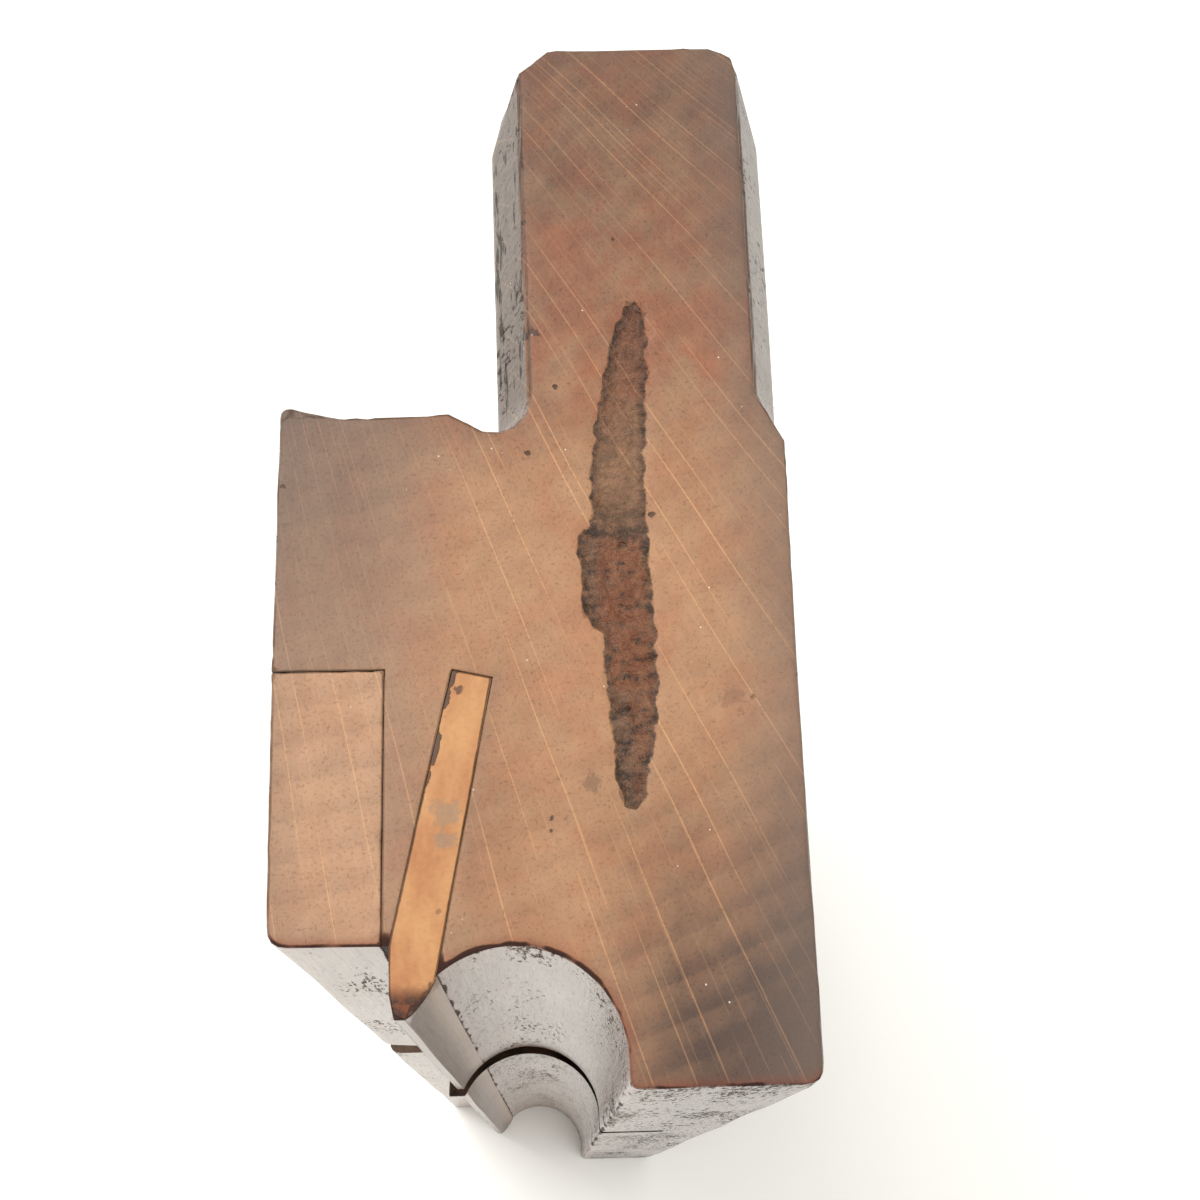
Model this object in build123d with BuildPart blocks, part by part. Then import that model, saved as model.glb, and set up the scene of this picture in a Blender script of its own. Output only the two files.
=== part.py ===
"""Side bead moulding plane with a boxed quirk and a removable slip, in millimetres.

+Z runs from the heel to the toe, +Y from the sole up to the grip, and +X from the shoulder side
across to the fence. The origin is the middle of the heel's end face, on which the plane stands.
"""
import os
from math import asin, cos, degrees, hypot, radians, sin, tan

from build123d import *

os.makedirs("parts", exist_ok=True)

# ---------------------------------------------------------------- the stock
STOCK_LENGTH = 241.3      # heel to toe, nine and a half inches
STOCK_HEIGHT = 84.5       # underside of the fence to the top of the grip
GRIP_WIDTH = 22.2         # the narrower upper part that the hand holds
SHOULDER_HEIGHT = 50.2    # the shoulder, above the fence's underside
SHOULDER_ROUND = 0.9      # worn outer edge of the shoulder
CROWN_REACH = 5.4         # how far the grip's rounded top corners reach in from each side
CROWN_DROP = 8.2          # how far they reach down
CROWN_BULGE = 0.9         # how far their middle stands out of a flat chamfer

# ---------------------------------------------------------------- the sole, from shoulder to fence
SLIP_WIDTH = 8.05         # the loose strip beside the bead, with the depth stop under it
SLIP_HEIGHT = 20.0
SLIP_ROUND = 1.3          # worn outer lower edge
CHEEK = 0.5               # stock left between the slip and the boxing at the sole
QUIRK_LIP = 0.5           # outer face of the boxing's tip, beyond the bead's radius
BEAD_RADIUS = 7.94        # a five-eighths bead
FENCE_WIDTH = 13.56
FENCE_LIP = 2.05          # straight part of the fence's inner face, below the bead's centre
FENCE_ROUND = 0.8         # worn edges of the fence
STOP_DROP = 0.2           # the depth stop stands this far above the hollow's crown

# ---------------------------------------------------------------- the boxing, a slanted hard strip
BOXING_DEPTH = 19.85      # from the depth stop up to its buried edge
BOXING_TILT = 12.45       # degrees from upright
BOXING_THICKNESS = 3.0    # at the buried edge; it widens toward the sole
BOXING_ARC = 130.5        # degrees round the bead where the boxing takes over from the stock
QUIRK_RISE = 3.1          # the tip, above the bead's centre
TIP_BEVEL = 0.3
TIP_BEVEL_HEIGHT = 1.7

# ---------------------------------------------------------------- chamfers on both ends of the grip
END_CHAMFER_FACE = 2.4    # width left on the end face at each side
END_CHAMFER_TOP = 2.1     # and at the top
END_CHAMFER_LENGTH = 6.0  # width along the stock
GOUGE_RADIUS = 3.0        # gouge strokes that end the side chamfers
GOUGE_OUTSIDE = 0.6       # their centre, out from the grip's side
GOUGE_RISE = 2.5          # how much the stroke climbs over the chamfer's length
GOUGE_ABOVE_SHOULDER = 1.5
GOUGE_ABOVE_FENCE_SIDE = 0.2
GOUGE_STROKE = 18.0       # length of the cylinder that cuts it

# ---------------------------------------------------------------- bed, mouth and throat
PITCH = 50.0              # the bed's angle to the sole, degrees
MOUTH_FROM_TOE = 94.0     # the cutting edge at the depth stop's height
MOUTH_GAP = 2.0           # open in front of the iron at the quirk
MOUTH_GAP_FENCE = 0.8     # and inside the fence
MOUTH_FLARE = 8.0         # open in front of the iron at the shoulder side
MOUTH_ABOVE_SLIP = 4.0    # how far up the bed its slot runs past the slip
SIDE_CLEARANCE = 0.3      # beside the blade
RETRACT_ROOM = 4.0        # above the blade's neck
EYE_RADIUS = 15.5         # the round opening for the shavings on the shoulder side
EYE_RISE = 18.5           # its centre, up the bed
EYE_OFFSET = 8.0          # and in front of the iron
EYE_INNER_RADIUS = 6.0    # the cone it narrows to inside the fence
EYE_INNER_RISE = 13.0
EYE_INNER_OFFSET = 5.0
EYE_INNER_DEPTH = 4.0     # beyond the fence's inner face

# ---------------------------------------------------------------- iron and wedge
IRON_THICKNESS = 3.2
IRON_QUIRK_LAP = 0.75     # the blade's edge beyond the quirk
IRON_FENCE_LAP = 6.8      # and into the fence
IRON_PROUD = 0.7          # the cutting edge below the sole
IRON_PROUD_FENCE = 0.2    # and below the fence
BLADE_LENGTH = 36.0
NECK_LENGTH = 8.0
TANG_WIDTH = 7.0
TANG_OUT = 45.0           # tang above the stock, along the bed
TANG_ROUND = 2.0
BEVEL = 35.0              # between the iron's front face and its ground bevel, degrees
GRINDING = 80.0           # size of the shape that takes away what lies beyond the edge
MORTISE_WALL = 3.6        # wood between the mortise and the grip's shoulder side
MORTISE_CLEARANCE = 0.15  # beside the tang and the wedge
MORTISE_RUNOUT = 45.0     # its cutting shape runs on this far above the stock
WEDGE_ANGLE = 10.0        # degrees
WEDGE_TIP_RISE = 15.0     # its tip, up the bed
WEDGE_TIP = 1.6           # its thickness at the tip
WEDGE_FIT = 0.03          # between the wedge and the iron
WEDGE_OUT = 9.2           # full-width wedge above the stock, below the notch
NOTCH_LENGTH = 11.0       # hollow that a mallet strikes under
NOTCH_DEPTH = 8.5
HEAD_LENGTH = 17.0
HEAD_SETBACK = 1.0        # the head's lower front edge, behind the body's front face
HEAD_TOP_DEPTH = 5.9      # the head's top, in front of the iron
HEAD_BACK_DROP = 8.5      # the round back of the head starts this far below its top
HEAD_EDGE = 0.8           # chamfer on the wedge's head

# ---------------------------------------------------------------- screws through the slip
SCREW_RADIUS = 1.75
SCREW_HEAD_RADIUS = 3.6
SCREW_LENGTH = 20.0
SCREW_FIT = 0.05          # round the shank
COUNTERSINK = 45.0        # between the head's cone and its axis, degrees
SCREW_END_SETBACK = 20.0  # from the ends of the stock
SCREW_THROAT_SETBACK = 16.0
SCREW_SLOT = 0.9
SLIP_FIT = 0.05           # above the slip

# ---------------------------------------------------------------- places worked out from the sizes
CUT = 1.0                                      # how far cutting shapes run past what they cut
QUIRK_REACH = BEAD_RADIUS + QUIRK_LIP
STOCK_WIDTH = SLIP_WIDTH + CHEEK + QUIRK_REACH + BEAD_RADIUS + FENCE_WIDTH
X_SHOULDER_SIDE = -STOCK_WIDTH / 2
X_FENCE_SIDE = STOCK_WIDTH / 2
X_GRIP = X_FENCE_SIDE - GRIP_WIDTH
X_SLIP = X_SHOULDER_SIDE + SLIP_WIDTH
X_QUIRK = X_SLIP + CHEEK
X_BEAD = X_QUIRK + QUIRK_REACH
X_FENCE = X_BEAD + BEAD_RADIUS

Y_BOTTOM = -STOCK_HEIGHT / 2
Y_TOP = STOCK_HEIGHT / 2
Y_BEAD = Y_BOTTOM + FENCE_LIP
Y_SOLE = Y_BEAD + BEAD_RADIUS + STOP_DROP
Y_QUIRK = Y_BEAD + QUIRK_RISE
Y_SHOULDER = Y_BOTTOM + SHOULDER_HEIGHT
Y_SLIP_TOP = Y_SOLE + SLIP_HEIGHT

RISE = sin(radians(PITCH))
LEAN = cos(radians(PITCH))
Z_EDGE = STOCK_LENGTH - MOUTH_FROM_TOE


def beside(along, front):
    """(y, z) of a point so far up the iron's front face and so far in front of it."""
    y = Y_SOLE + along * RISE + front * LEAN
    z = Z_EDGE - along * LEAN + front * RISE
    return (y, z)


def front_face(offset):
    """The plane of the iron's front face, moved forward: local x is across, local y is up it."""
    y, z = beside(0, offset)
    return Plane(origin=(0, y, z), x_dir=(1, 0, 0), z_dir=(0, LEAN, RISE))


def square_to_bed(along):
    """The plane square to the bed, so far up it: local x is across, local y is forward."""
    y, z = beside(along, 0)
    return Plane(origin=(0, y, z), x_dir=(1, 0, 0), z_dir=(0, -RISE, LEAN))


def along_at(height):
    """How far up the front face a point at this y is."""
    return (height - Y_SOLE) / RISE


MOUTH_TOP = along_at(Y_SLIP_TOP) + MOUTH_ABOVE_SLIP
STOCK_TOP = along_at(Y_TOP)
PAST_TOP = STOCK_TOP + MORTISE_RUNOUT          # beyond the whole mortise
X_MORTISE = X_GRIP + MORTISE_WALL
MORTISE_WIDTH = TANG_WIDTH + 2 * MORTISE_CLEARANCE
X_TANG = X_MORTISE + MORTISE_WIDTH / 2         # the tang's and the wedge's middle
X_IRON_LEFT = X_QUIRK - IRON_QUIRK_LAP
X_IRON_RIGHT = X_FENCE + IRON_FENCE_LAP
WEDGE_TAPER = tan(radians(WEDGE_ANGLE))


def wedge_front(along):
    """How far the wedge's front face stands in front of the iron, so far up it."""
    return WEDGE_TIP + (along - WEDGE_TIP_RISE) * WEDGE_TAPER


# points that the stock and the boxing share
TILT = radians(BOXING_TILT)
BOXING_TOP_OUTER = (X_QUIRK + BOXING_DEPTH * tan(TILT), Y_SOLE + BOXING_DEPTH)
BOXING_TOP_INNER = (BOXING_TOP_OUTER[0] + BOXING_THICKNESS * cos(TILT),
                    BOXING_TOP_OUTER[1] - BOXING_THICKNESS * sin(TILT))


def on_bead(angle):
    """The point of the hollow at this angle round the bead, in degrees from the fence."""
    return (X_BEAD + BEAD_RADIUS * cos(radians(angle)), Y_BEAD + BEAD_RADIUS * sin(radians(angle)))


BOXING_MEETS_STOCK = on_bead(BOXING_ARC)
TIP_ARC = 180 - degrees(asin(QUIRK_RISE / BEAD_RADIUS))
BOXING_TIP = on_bead(TIP_ARC)
FENCE_FOOT = (X_FENCE, Y_BOTTOM)

# the four screws, at the middle of the slip's height
Y_SCREW = Y_SOLE + SLIP_HEIGHT / 2
Z_BED_AT_SCREW = Z_EDGE - along_at(Y_SCREW) * LEAN - IRON_THICKNESS / RISE
Z_MOUTH_LIP = beside(along_at(Y_SCREW), 0)[1] + EYE_RADIUS + EYE_OFFSET
SCREWS_TOE = (STOCK_LENGTH - SCREW_END_SETBACK, Z_MOUTH_LIP + SCREW_THROAT_SETBACK)
SCREWS_HEEL = (Z_BED_AT_SCREW - SCREW_THROAT_SETBACK, SCREW_END_SETBACK)


def screw_planes(stations):
    """Planes on the shoulder side, facing out, one at each screw."""
    return [Plane(origin=(X_SHOULDER_SIDE, Y_SCREW, z), z_dir=(-1, 0, 0)) for z in stations]


# ---------------------------------------------------------------- the throat, as one cutting shape
with BuildPart() as throat:
    # the eye narrows from the shoulder side to the mouth
    with BuildSketch(Plane.YZ.offset(X_SHOULDER_SIDE - CUT)):
        with Locations(beside(EYE_RISE, EYE_OFFSET)):
            Circle(EYE_RADIUS)
    with BuildSketch(Plane.YZ.offset(X_FENCE + EYE_INNER_DEPTH)):
        with Locations(beside(EYE_INNER_RISE, EYE_INNER_OFFSET)):
            Circle(EYE_INNER_RADIUS)
    loft()
    # the mouth's slot, flared toward the shoulder side
    with BuildSketch(square_to_bed(MOUTH_TOP)):
        with BuildLine():
            Polyline((X_SHOULDER_SIDE - CUT, -IRON_THICKNESS),
                     (X_IRON_RIGHT + SIDE_CLEARANCE, -IRON_THICKNESS),
                     (X_IRON_RIGHT + SIDE_CLEARANCE, MOUTH_GAP_FENCE),
                     (X_FENCE, MOUTH_GAP_FENCE),
                     (X_QUIRK, MOUTH_GAP),
                     (X_SHOULDER_SIDE - CUT, MOUTH_FLARE),
                     close=True)
        make_face()
    extrude(amount=MOUTH_TOP + SHOULDER_HEIGHT / RISE)
    # the well that the blade and its neck lie in, with room to draw the iron back
    with BuildSketch(front_face(SIDE_CLEARANCE)):
        with BuildLine():
            Polyline((X_IRON_LEFT - SIDE_CLEARANCE, 0),
                     (X_IRON_LEFT - SIDE_CLEARANCE, BLADE_LENGTH + RETRACT_ROOM),
                     (X_MORTISE, BLADE_LENGTH + NECK_LENGTH + RETRACT_ROOM),
                     (X_MORTISE + MORTISE_WIDTH, BLADE_LENGTH + NECK_LENGTH + RETRACT_ROOM),
                     (X_IRON_RIGHT + SIDE_CLEARANCE, BLADE_LENGTH + RETRACT_ROOM),
                     (X_IRON_RIGHT + SIDE_CLEARANCE, 0),
                     close=True)
        make_face()
    extrude(amount=-(IRON_THICKNESS + SIDE_CLEARANCE))
    # the mortise for the tang and the wedge
    with BuildSketch(Plane.YZ.offset(X_MORTISE)):
        with BuildLine():
            Polyline(beside(WEDGE_TIP_RISE, -IRON_THICKNESS),
                     beside(WEDGE_TIP_RISE, WEDGE_TIP),
                     beside(PAST_TOP, wedge_front(PAST_TOP)),
                     beside(PAST_TOP, -IRON_THICKNESS),
                     close=True)
        make_face()
    extrude(amount=MORTISE_WIDTH)
    # nothing is cut behind the bed
    split(bisect_by=front_face(-IRON_THICKNESS), keep=Keep.TOP)

# ---------------------------------------------------------------- the stock
with BuildPart() as stock:
    with BuildSketch(Plane.XY) as stock_section:
        with BuildLine():
            Polyline((X_GRIP, Y_TOP - CROWN_DROP),
                     (X_GRIP, Y_SHOULDER),
                     (X_SHOULDER_SIDE, Y_SHOULDER),
                     (X_SHOULDER_SIDE, Y_SLIP_TOP),
                     (X_SLIP, Y_SLIP_TOP),
                     (X_SLIP, Y_SOLE),
                     (X_QUIRK, Y_SOLE),
                     BOXING_TOP_OUTER,
                     BOXING_TOP_INNER,
                     BOXING_MEETS_STOCK)
            ThreePointArc(BOXING_MEETS_STOCK, on_bead(BOXING_ARC / 2), (X_FENCE, Y_BEAD))
            Polyline((X_FENCE, Y_BEAD),
                     FENCE_FOOT,
                     (X_FENCE_SIDE, Y_BOTTOM),
                     (X_FENCE_SIDE, Y_TOP - CROWN_DROP))
            # the grip's top corners are chamfers worn round
            corner = hypot(CROWN_REACH, CROWN_DROP)
            bulge = (CROWN_BULGE * CROWN_DROP / corner, CROWN_BULGE * CROWN_REACH / corner)
            ThreePointArc((X_FENCE_SIDE, Y_TOP - CROWN_DROP),
                          (X_FENCE_SIDE - CROWN_REACH / 2 + bulge[0], Y_TOP - CROWN_DROP / 2 + bulge[1]),
                          (X_FENCE_SIDE - CROWN_REACH, Y_TOP))
            Line((X_FENCE_SIDE - CROWN_REACH, Y_TOP), (X_GRIP + CROWN_REACH, Y_TOP))
            ThreePointArc((X_GRIP + CROWN_REACH, Y_TOP),
                          (X_GRIP + CROWN_REACH / 2 - bulge[0], Y_TOP - CROWN_DROP / 2 + bulge[1]),
                          (X_GRIP, Y_TOP - CROWN_DROP))
        make_face()
        fillet(stock_section.vertices().group_by(Axis.Y)[0], FENCE_ROUND)
        shoulder_edge = stock_section.vertices().filter_by_position(
            Axis.Y, Y_SHOULDER - CUT, Y_SHOULDER + CUT).sort_by(Axis.X)[0]
        fillet(shoulder_edge, SHOULDER_ROUND)
    extrude(amount=STOCK_LENGTH)
    for face_z, inward in ((STOCK_LENGTH, -1), (0, 1)):
        # the chamfer across the top of each end
        with BuildSketch(Plane.YZ.offset(X_GRIP - CUT)):
            with BuildLine():
                Polyline((Y_TOP - END_CHAMFER_TOP, face_z),
                         (Y_TOP + CUT, face_z),
                         (Y_TOP + CUT, face_z + inward * END_CHAMFER_LENGTH),
                         (Y_TOP, face_z + inward * END_CHAMFER_LENGTH),
                         close=True)
            make_face()
        extrude(amount=GRIP_WIDTH + 2 * CUT, mode=Mode.SUBTRACT)
        # the chamfers down both sides of the grip, each ended by a gouge stroke
        for side_x, inside, lift in ((X_GRIP, 1, GOUGE_ABOVE_SHOULDER),
                                     (X_FENCE_SIDE, -1, GOUGE_ABOVE_FENCE_SIDE)):
            stop_y = Y_SHOULDER + lift
            with BuildSketch(Plane.XZ.offset(-stop_y)):
                with BuildLine():
                    Polyline((side_x + inside * END_CHAMFER_FACE, face_z),
                             (side_x - inside * CUT, face_z),
                             (side_x - inside * CUT, face_z + inward * END_CHAMFER_LENGTH),
                             (side_x, face_z + inward * END_CHAMFER_LENGTH),
                             close=True)
                make_face()
            extrude(amount=-(Y_TOP + CUT - stop_y), mode=Mode.SUBTRACT)
            stroke = Vector(-inside * END_CHAMFER_FACE, GOUGE_RISE, inward * END_CHAMFER_LENGTH)
            start = Vector(side_x - inside * GOUGE_OUTSIDE, stop_y, face_z)
            with Locations(Plane(origin=start, z_dir=stroke)):
                Cylinder(GOUGE_RADIUS, GOUGE_STROKE, mode=Mode.SUBTRACT)
    add(throat.part, mode=Mode.SUBTRACT)
    with Locations(*screw_planes(SCREWS_TOE + SCREWS_HEEL)):
        Hole(SCREW_RADIUS + SCREW_FIT, depth=SCREW_LENGTH)
stock.part.label = "stock"
export_step(stock.part, "parts/stock.step")


# ---------------------------------------------------------------- boxing and slip
# the mouth cuts each of the two strips into a toe piece and a heel piece
for end, side in (("toe", Keep.TOP), ("heel", Keep.BOTTOM)):
    with BuildPart() as boxing:
        with BuildSketch(Plane.XY):
            with BuildLine():
                Polyline(BOXING_TIP,
                         (X_QUIRK + TIP_BEVEL, Y_QUIRK),
                         (X_QUIRK, Y_QUIRK + TIP_BEVEL_HEIGHT),
                         (X_QUIRK, Y_SOLE),
                         BOXING_TOP_OUTER,
                         BOXING_TOP_INNER,
                         BOXING_MEETS_STOCK)
                ThreePointArc(BOXING_MEETS_STOCK, on_bead((BOXING_ARC + TIP_ARC) / 2), BOXING_TIP)
            make_face()
        extrude(amount=STOCK_LENGTH)
        add(throat.part, mode=Mode.SUBTRACT)
        split(bisect_by=front_face(-IRON_THICKNESS), keep=side)
        with Locations(*screw_planes(SCREWS_TOE if end == "toe" else SCREWS_HEEL)):
            Hole(SCREW_RADIUS + SCREW_FIT, depth=SCREW_LENGTH)
    boxing.part.label = f"boxing_{end}"
    export_step(boxing.part, f"parts/boxing_{end}.step")

    with BuildPart() as slip:
        with BuildSketch(Plane.XY) as slip_section:
            with Locations((X_SHOULDER_SIDE, Y_SOLE)):
                Rectangle(SLIP_WIDTH, SLIP_HEIGHT - SLIP_FIT, align=(Align.MIN, Align.MIN))
            worn = slip_section.vertices().group_by(Axis.Y)[0].sort_by(Axis.X)[0]
            fillet(worn, SLIP_ROUND)
        extrude(amount=STOCK_LENGTH)
        add(throat.part, mode=Mode.SUBTRACT)
        split(bisect_by=front_face(-IRON_THICKNESS), keep=side)
        with Locations(*screw_planes(SCREWS_TOE if end == "toe" else SCREWS_HEEL)):
            CounterSinkHole(SCREW_RADIUS + SCREW_FIT, SCREW_HEAD_RADIUS, counter_sink_angle=2 * COUNTERSINK)
    slip.part.label = f"slip_{end}"
    export_step(slip.part, f"parts/slip_{end}.step")

# ---------------------------------------------------------------- slip screws, two to each piece
for end, stations in (("toe", SCREWS_TOE), ("heel", SCREWS_HEEL)):
    with BuildPart() as screws:
        head = SCREW_HEAD_RADIUS - SCREW_RADIUS - SCREW_FIT      # a right-angled countersink
        for plane in screw_planes(stations):
            with BuildSketch(plane):
                Circle(SCREW_HEAD_RADIUS)
            extrude(amount=-head, taper=COUNTERSINK)
            with BuildSketch(plane):
                Circle(SCREW_RADIUS)
            extrude(amount=-SCREW_LENGTH)
            with BuildSketch(plane):
                Rectangle(SCREW_SLOT, 2 * SCREW_HEAD_RADIUS)
            extrude(amount=-SCREW_SLOT, mode=Mode.SUBTRACT)
    screws.part.label = f"slip_screws_{end}"
    export_step(screws.part, f"parts/slip_screws_{end}.step")

# ---------------------------------------------------------------- the iron
with BuildPart() as iron:
    low = along_at(Y_BOTTOM) - IRON_PROUD - CUT
    tang_top = STOCK_TOP + TANG_OUT
    half = TANG_WIDTH / 2
    with BuildSketch(front_face(0)) as outline:
        with BuildLine():
            Polyline((X_IRON_LEFT, low),
                     (X_IRON_LEFT, BLADE_LENGTH),
                     (X_TANG - half, BLADE_LENGTH + NECK_LENGTH),
                     (X_TANG - half, tang_top),
                     (X_TANG + half, tang_top),
                     (X_TANG + half, BLADE_LENGTH + NECK_LENGTH),
                     (X_IRON_RIGHT, BLADE_LENGTH),
                     (X_IRON_RIGHT, low),
                     close=True)
        make_face()
        fillet(outline.vertices().group_by(Axis.Y)[-1], TANG_ROUND)
    extrude(amount=-IRON_THICKNESS)
    # the edge follows the sole a little below it, and the bevel is ground back from it
    proud = IRON_PROUD / RISE
    bead_level = along_at(Y_BEAD)
    quirk_level = along_at(Y_QUIRK)
    fence_level = along_at(Y_BOTTOM) - IRON_PROUD_FENCE / RISE
    with BuildSketch(front_face(0)):
        with BuildLine():
            Polyline((X_IRON_LEFT - CUT, quirk_level - proud),
                     (BOXING_TIP[0], quirk_level - proud))
            EllipticalCenterArc((X_BEAD, bead_level - proud), BEAD_RADIUS, BEAD_RADIUS / RISE,
                                start_angle=0, arc_size=TIP_ARC)
            Polyline((X_FENCE, bead_level - proud),
                     (X_FENCE, fence_level),
                     (X_IRON_RIGHT + CUT, fence_level),
                     (X_IRON_RIGHT + CUT, low - GRINDING),
                     (X_IRON_LEFT - CUT, low - GRINDING),
                     (X_IRON_LEFT - CUT, quirk_level - proud))
        make_face()
    relief = radians(PITCH - BEVEL)
    extrude(amount=GRINDING, dir=(0, sin(relief), -cos(relief)), mode=Mode.SUBTRACT)
iron.part.label = "iron"
export_step(iron.part, "parts/iron.step")

# ---------------------------------------------------------------- the wedge
with BuildPart() as wedge:
    foot = STOCK_TOP + WEDGE_OUT
    front = wedge_front(foot)
    notch = foot + NOTCH_LENGTH
    top = notch + HEAD_LENGTH
    with BuildSketch(Plane.YZ.offset(X_TANG - TANG_WIDTH / 2)):
        with BuildLine():
            Polyline(beside(top - HEAD_BACK_DROP, WEDGE_FIT),
                     beside(WEDGE_TIP_RISE, WEDGE_FIT),
                     beside(WEDGE_TIP_RISE, WEDGE_TIP),
                     beside(foot, front))
            ThreePointArc(beside(foot, front),
                          beside((foot + notch) / 2, front - NOTCH_DEPTH),
                          beside(notch, front - HEAD_SETBACK))
            ThreePointArc(beside(notch, front - HEAD_SETBACK),
                          beside(top, HEAD_TOP_DEPTH),
                          beside(top - HEAD_BACK_DROP, WEDGE_FIT))
        make_face()
    extrude(amount=TANG_WIDTH)
    chamfer(wedge.edges().filter_by(GeomType.CIRCLE), HEAD_EDGE)
wedge.part.label = "wedge"
export_step(wedge.part, "parts/wedge.step")
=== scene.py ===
# %% [markdown]
# # A wooden side bead plane
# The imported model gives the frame: where every piece is, and which body it moves with. The looks
# are built around it. The wooden pieces are made again as worn surfaces, because an old plane has
# no straight, sharp edge left, and the rest keeps its measured shape and gets its edges broken.

import bmesh
import bpy
import numpy as np
from mathutils import Matrix, Vector
from mathutils.geometry import delaunay_2d_cdt


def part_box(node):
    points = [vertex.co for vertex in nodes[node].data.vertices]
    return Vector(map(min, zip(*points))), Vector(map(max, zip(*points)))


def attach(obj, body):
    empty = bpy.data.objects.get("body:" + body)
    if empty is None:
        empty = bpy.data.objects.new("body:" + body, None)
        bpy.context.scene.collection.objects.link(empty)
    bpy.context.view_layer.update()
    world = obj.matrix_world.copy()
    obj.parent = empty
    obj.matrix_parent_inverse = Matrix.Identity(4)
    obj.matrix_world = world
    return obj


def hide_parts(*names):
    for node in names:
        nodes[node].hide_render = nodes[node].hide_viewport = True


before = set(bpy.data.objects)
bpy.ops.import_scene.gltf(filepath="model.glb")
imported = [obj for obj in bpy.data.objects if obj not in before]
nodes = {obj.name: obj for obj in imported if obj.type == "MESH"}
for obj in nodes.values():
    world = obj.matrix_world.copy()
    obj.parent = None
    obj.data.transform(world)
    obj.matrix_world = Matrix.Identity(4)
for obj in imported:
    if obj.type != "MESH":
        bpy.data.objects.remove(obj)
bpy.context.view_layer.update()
MM = 0.001


def box_mm(node):
    """The lowest and highest corners of a node, in millimetres."""
    low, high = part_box(node)
    return np.array(low) / MM, np.array(high) / MM


stock_low, stock_high = box_mm("stock")
LENGTH = stock_high[2] - stock_low[2]
print("stock", stock_low.round(2), stock_high.round(2))

# %% [markdown]
# ## Sizes
# The end face is drawn in millimetres from two edges of the stock: across from the shoulder side
# and up from the fence's underside. Every other piece is measured from the same two edges, so the
# joints between the pieces close.

# %% Sizes
SIDE, FOOT = stock_low[0], stock_low[1]
WIDTH, HEIGHT = stock_high[0] - SIDE, stock_high[1] - FOOT
slip_low, slip_high = box_mm("slip_toe")
boxing_low = box_mm("boxing_toe")[0]
iron_low, iron_high = box_mm("iron")
SLIP = slip_high[0] - SIDE                 # width of the slip
SOLE = slip_low[1] - FOOT                  # height of the depth stop
SLIP_TOP = slip_high[1] - FOOT
QUIRK = boxing_low[0] - SIDE               # outer face of the boxing's tip
QUIRK_TIP = boxing_low[1] - FOOT
BEAD = 7.94                                # radius of the hollow
BEAD_X, BEAD_Y = QUIRK + BEAD + 0.5, SOLE - BEAD - 0.2     # its centre
FENCE = BEAD_X + BEAD                      # the fence's inner face
GRIP = WIDTH - 22.2                        # the grip's shoulder side
SHOULDER = 50.2                            # its height
CHAMFER = 6.0                              # length of the chamfers at both ends
PITCH = np.radians(50.0)
EDGE_Z = LENGTH - 94.0                     # the cutting edge at the depth stop's height
IRON = 3.2                                 # its thickness
print("slip", round(SLIP, 2), "sole", round(SOLE, 2), "fence", round(FENCE, 2))


def bead_point(degrees):
    """A point of the hollow: the bead's centre plus its radius at this angle from the fence."""
    turn = np.radians(degrees)
    return (BEAD_X + BEAD * np.cos(turn), BEAD_Y + BEAD * np.sin(turn))


# %% [markdown]
# ## Unevenness
# Hand work and wear are not regular, so most surfaces here are pushed about by a smooth wandering
# field: a sum of sine waves with seeded random directions. It costs nothing, is the same on every
# run, and can be evaluated for all points of a piece in one call.


# %% Unevenness
def wander(points, size, seed, waves=12):
    """Between about -1 and 1: the mean of sine waves of about this wavelength at random angles."""
    rng = np.random.default_rng(seed)
    ways = rng.normal(size=(waves, points.shape[1]))
    ways *= rng.uniform(0.6, 1.6, (waves, 1)) / np.linalg.norm(ways, axis=1, keepdims=True)
    phases = rng.uniform(0, 2 * np.pi, waves)
    swing = np.sin(points @ ways.T * (2 * np.pi / size) + phases)
    return swing.sum(axis=1) / np.sqrt(waves)


def smooth(low, high, x):
    """0 below low, 1 above high, and an even S between them."""
    t = np.clip((x - low) / (high - low), 0, 1)
    return t * t * (3 - 2 * t)


sample = wander(np.linspace(0, 100, 1000)[:, None], 10.0, 1)
print("wander lies between", round(sample.min(), 2), "and", round(sample.max(), 2))

# %% [markdown]
# ## Two outlines and what lies between
# Each wooden piece has one outline on its end faces and another a few millimetres in, where the
# chamfers and the gouge strokes have run out. Both outlines have the same corners, so the skin is
# the straight blend from one to the other and a constant section in between. A corner is a
# number pair and a radius, and the radius is how far hands and use have rounded it.


# %% Outlines
def corner_arc(before, corner, after, radius, steps):
    """Points of a round of this radius at a corner, on at most 0.45 of either side."""
    back, on = np.linalg.norm(before - corner), np.linalg.norm(after - corner)
    a, b = (before - corner) / back, (after - corner) / on
    half = np.arccos(np.clip(a @ b, -1, 1)) / 2
    reach = min(radius / np.tan(half), 0.45 * back, 0.45 * on)
    t = np.linspace(0, 1, steps)[:, None]
    start, end = corner + a * reach, corner + b * reach
    return (1 - t) ** 2 * start + 2 * t * (1 - t) * corner + t ** 2 * end


def graded(start, end, count, near=0.75):
    """Count points from start toward end, close together at both ends: an eased spacing."""
    t = np.linspace(0, 1, count + 1)[:-1, None]
    eased = t - near * np.sin(2 * np.pi * t) / (2 * np.pi)
    return start + (end - start) * eased


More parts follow.
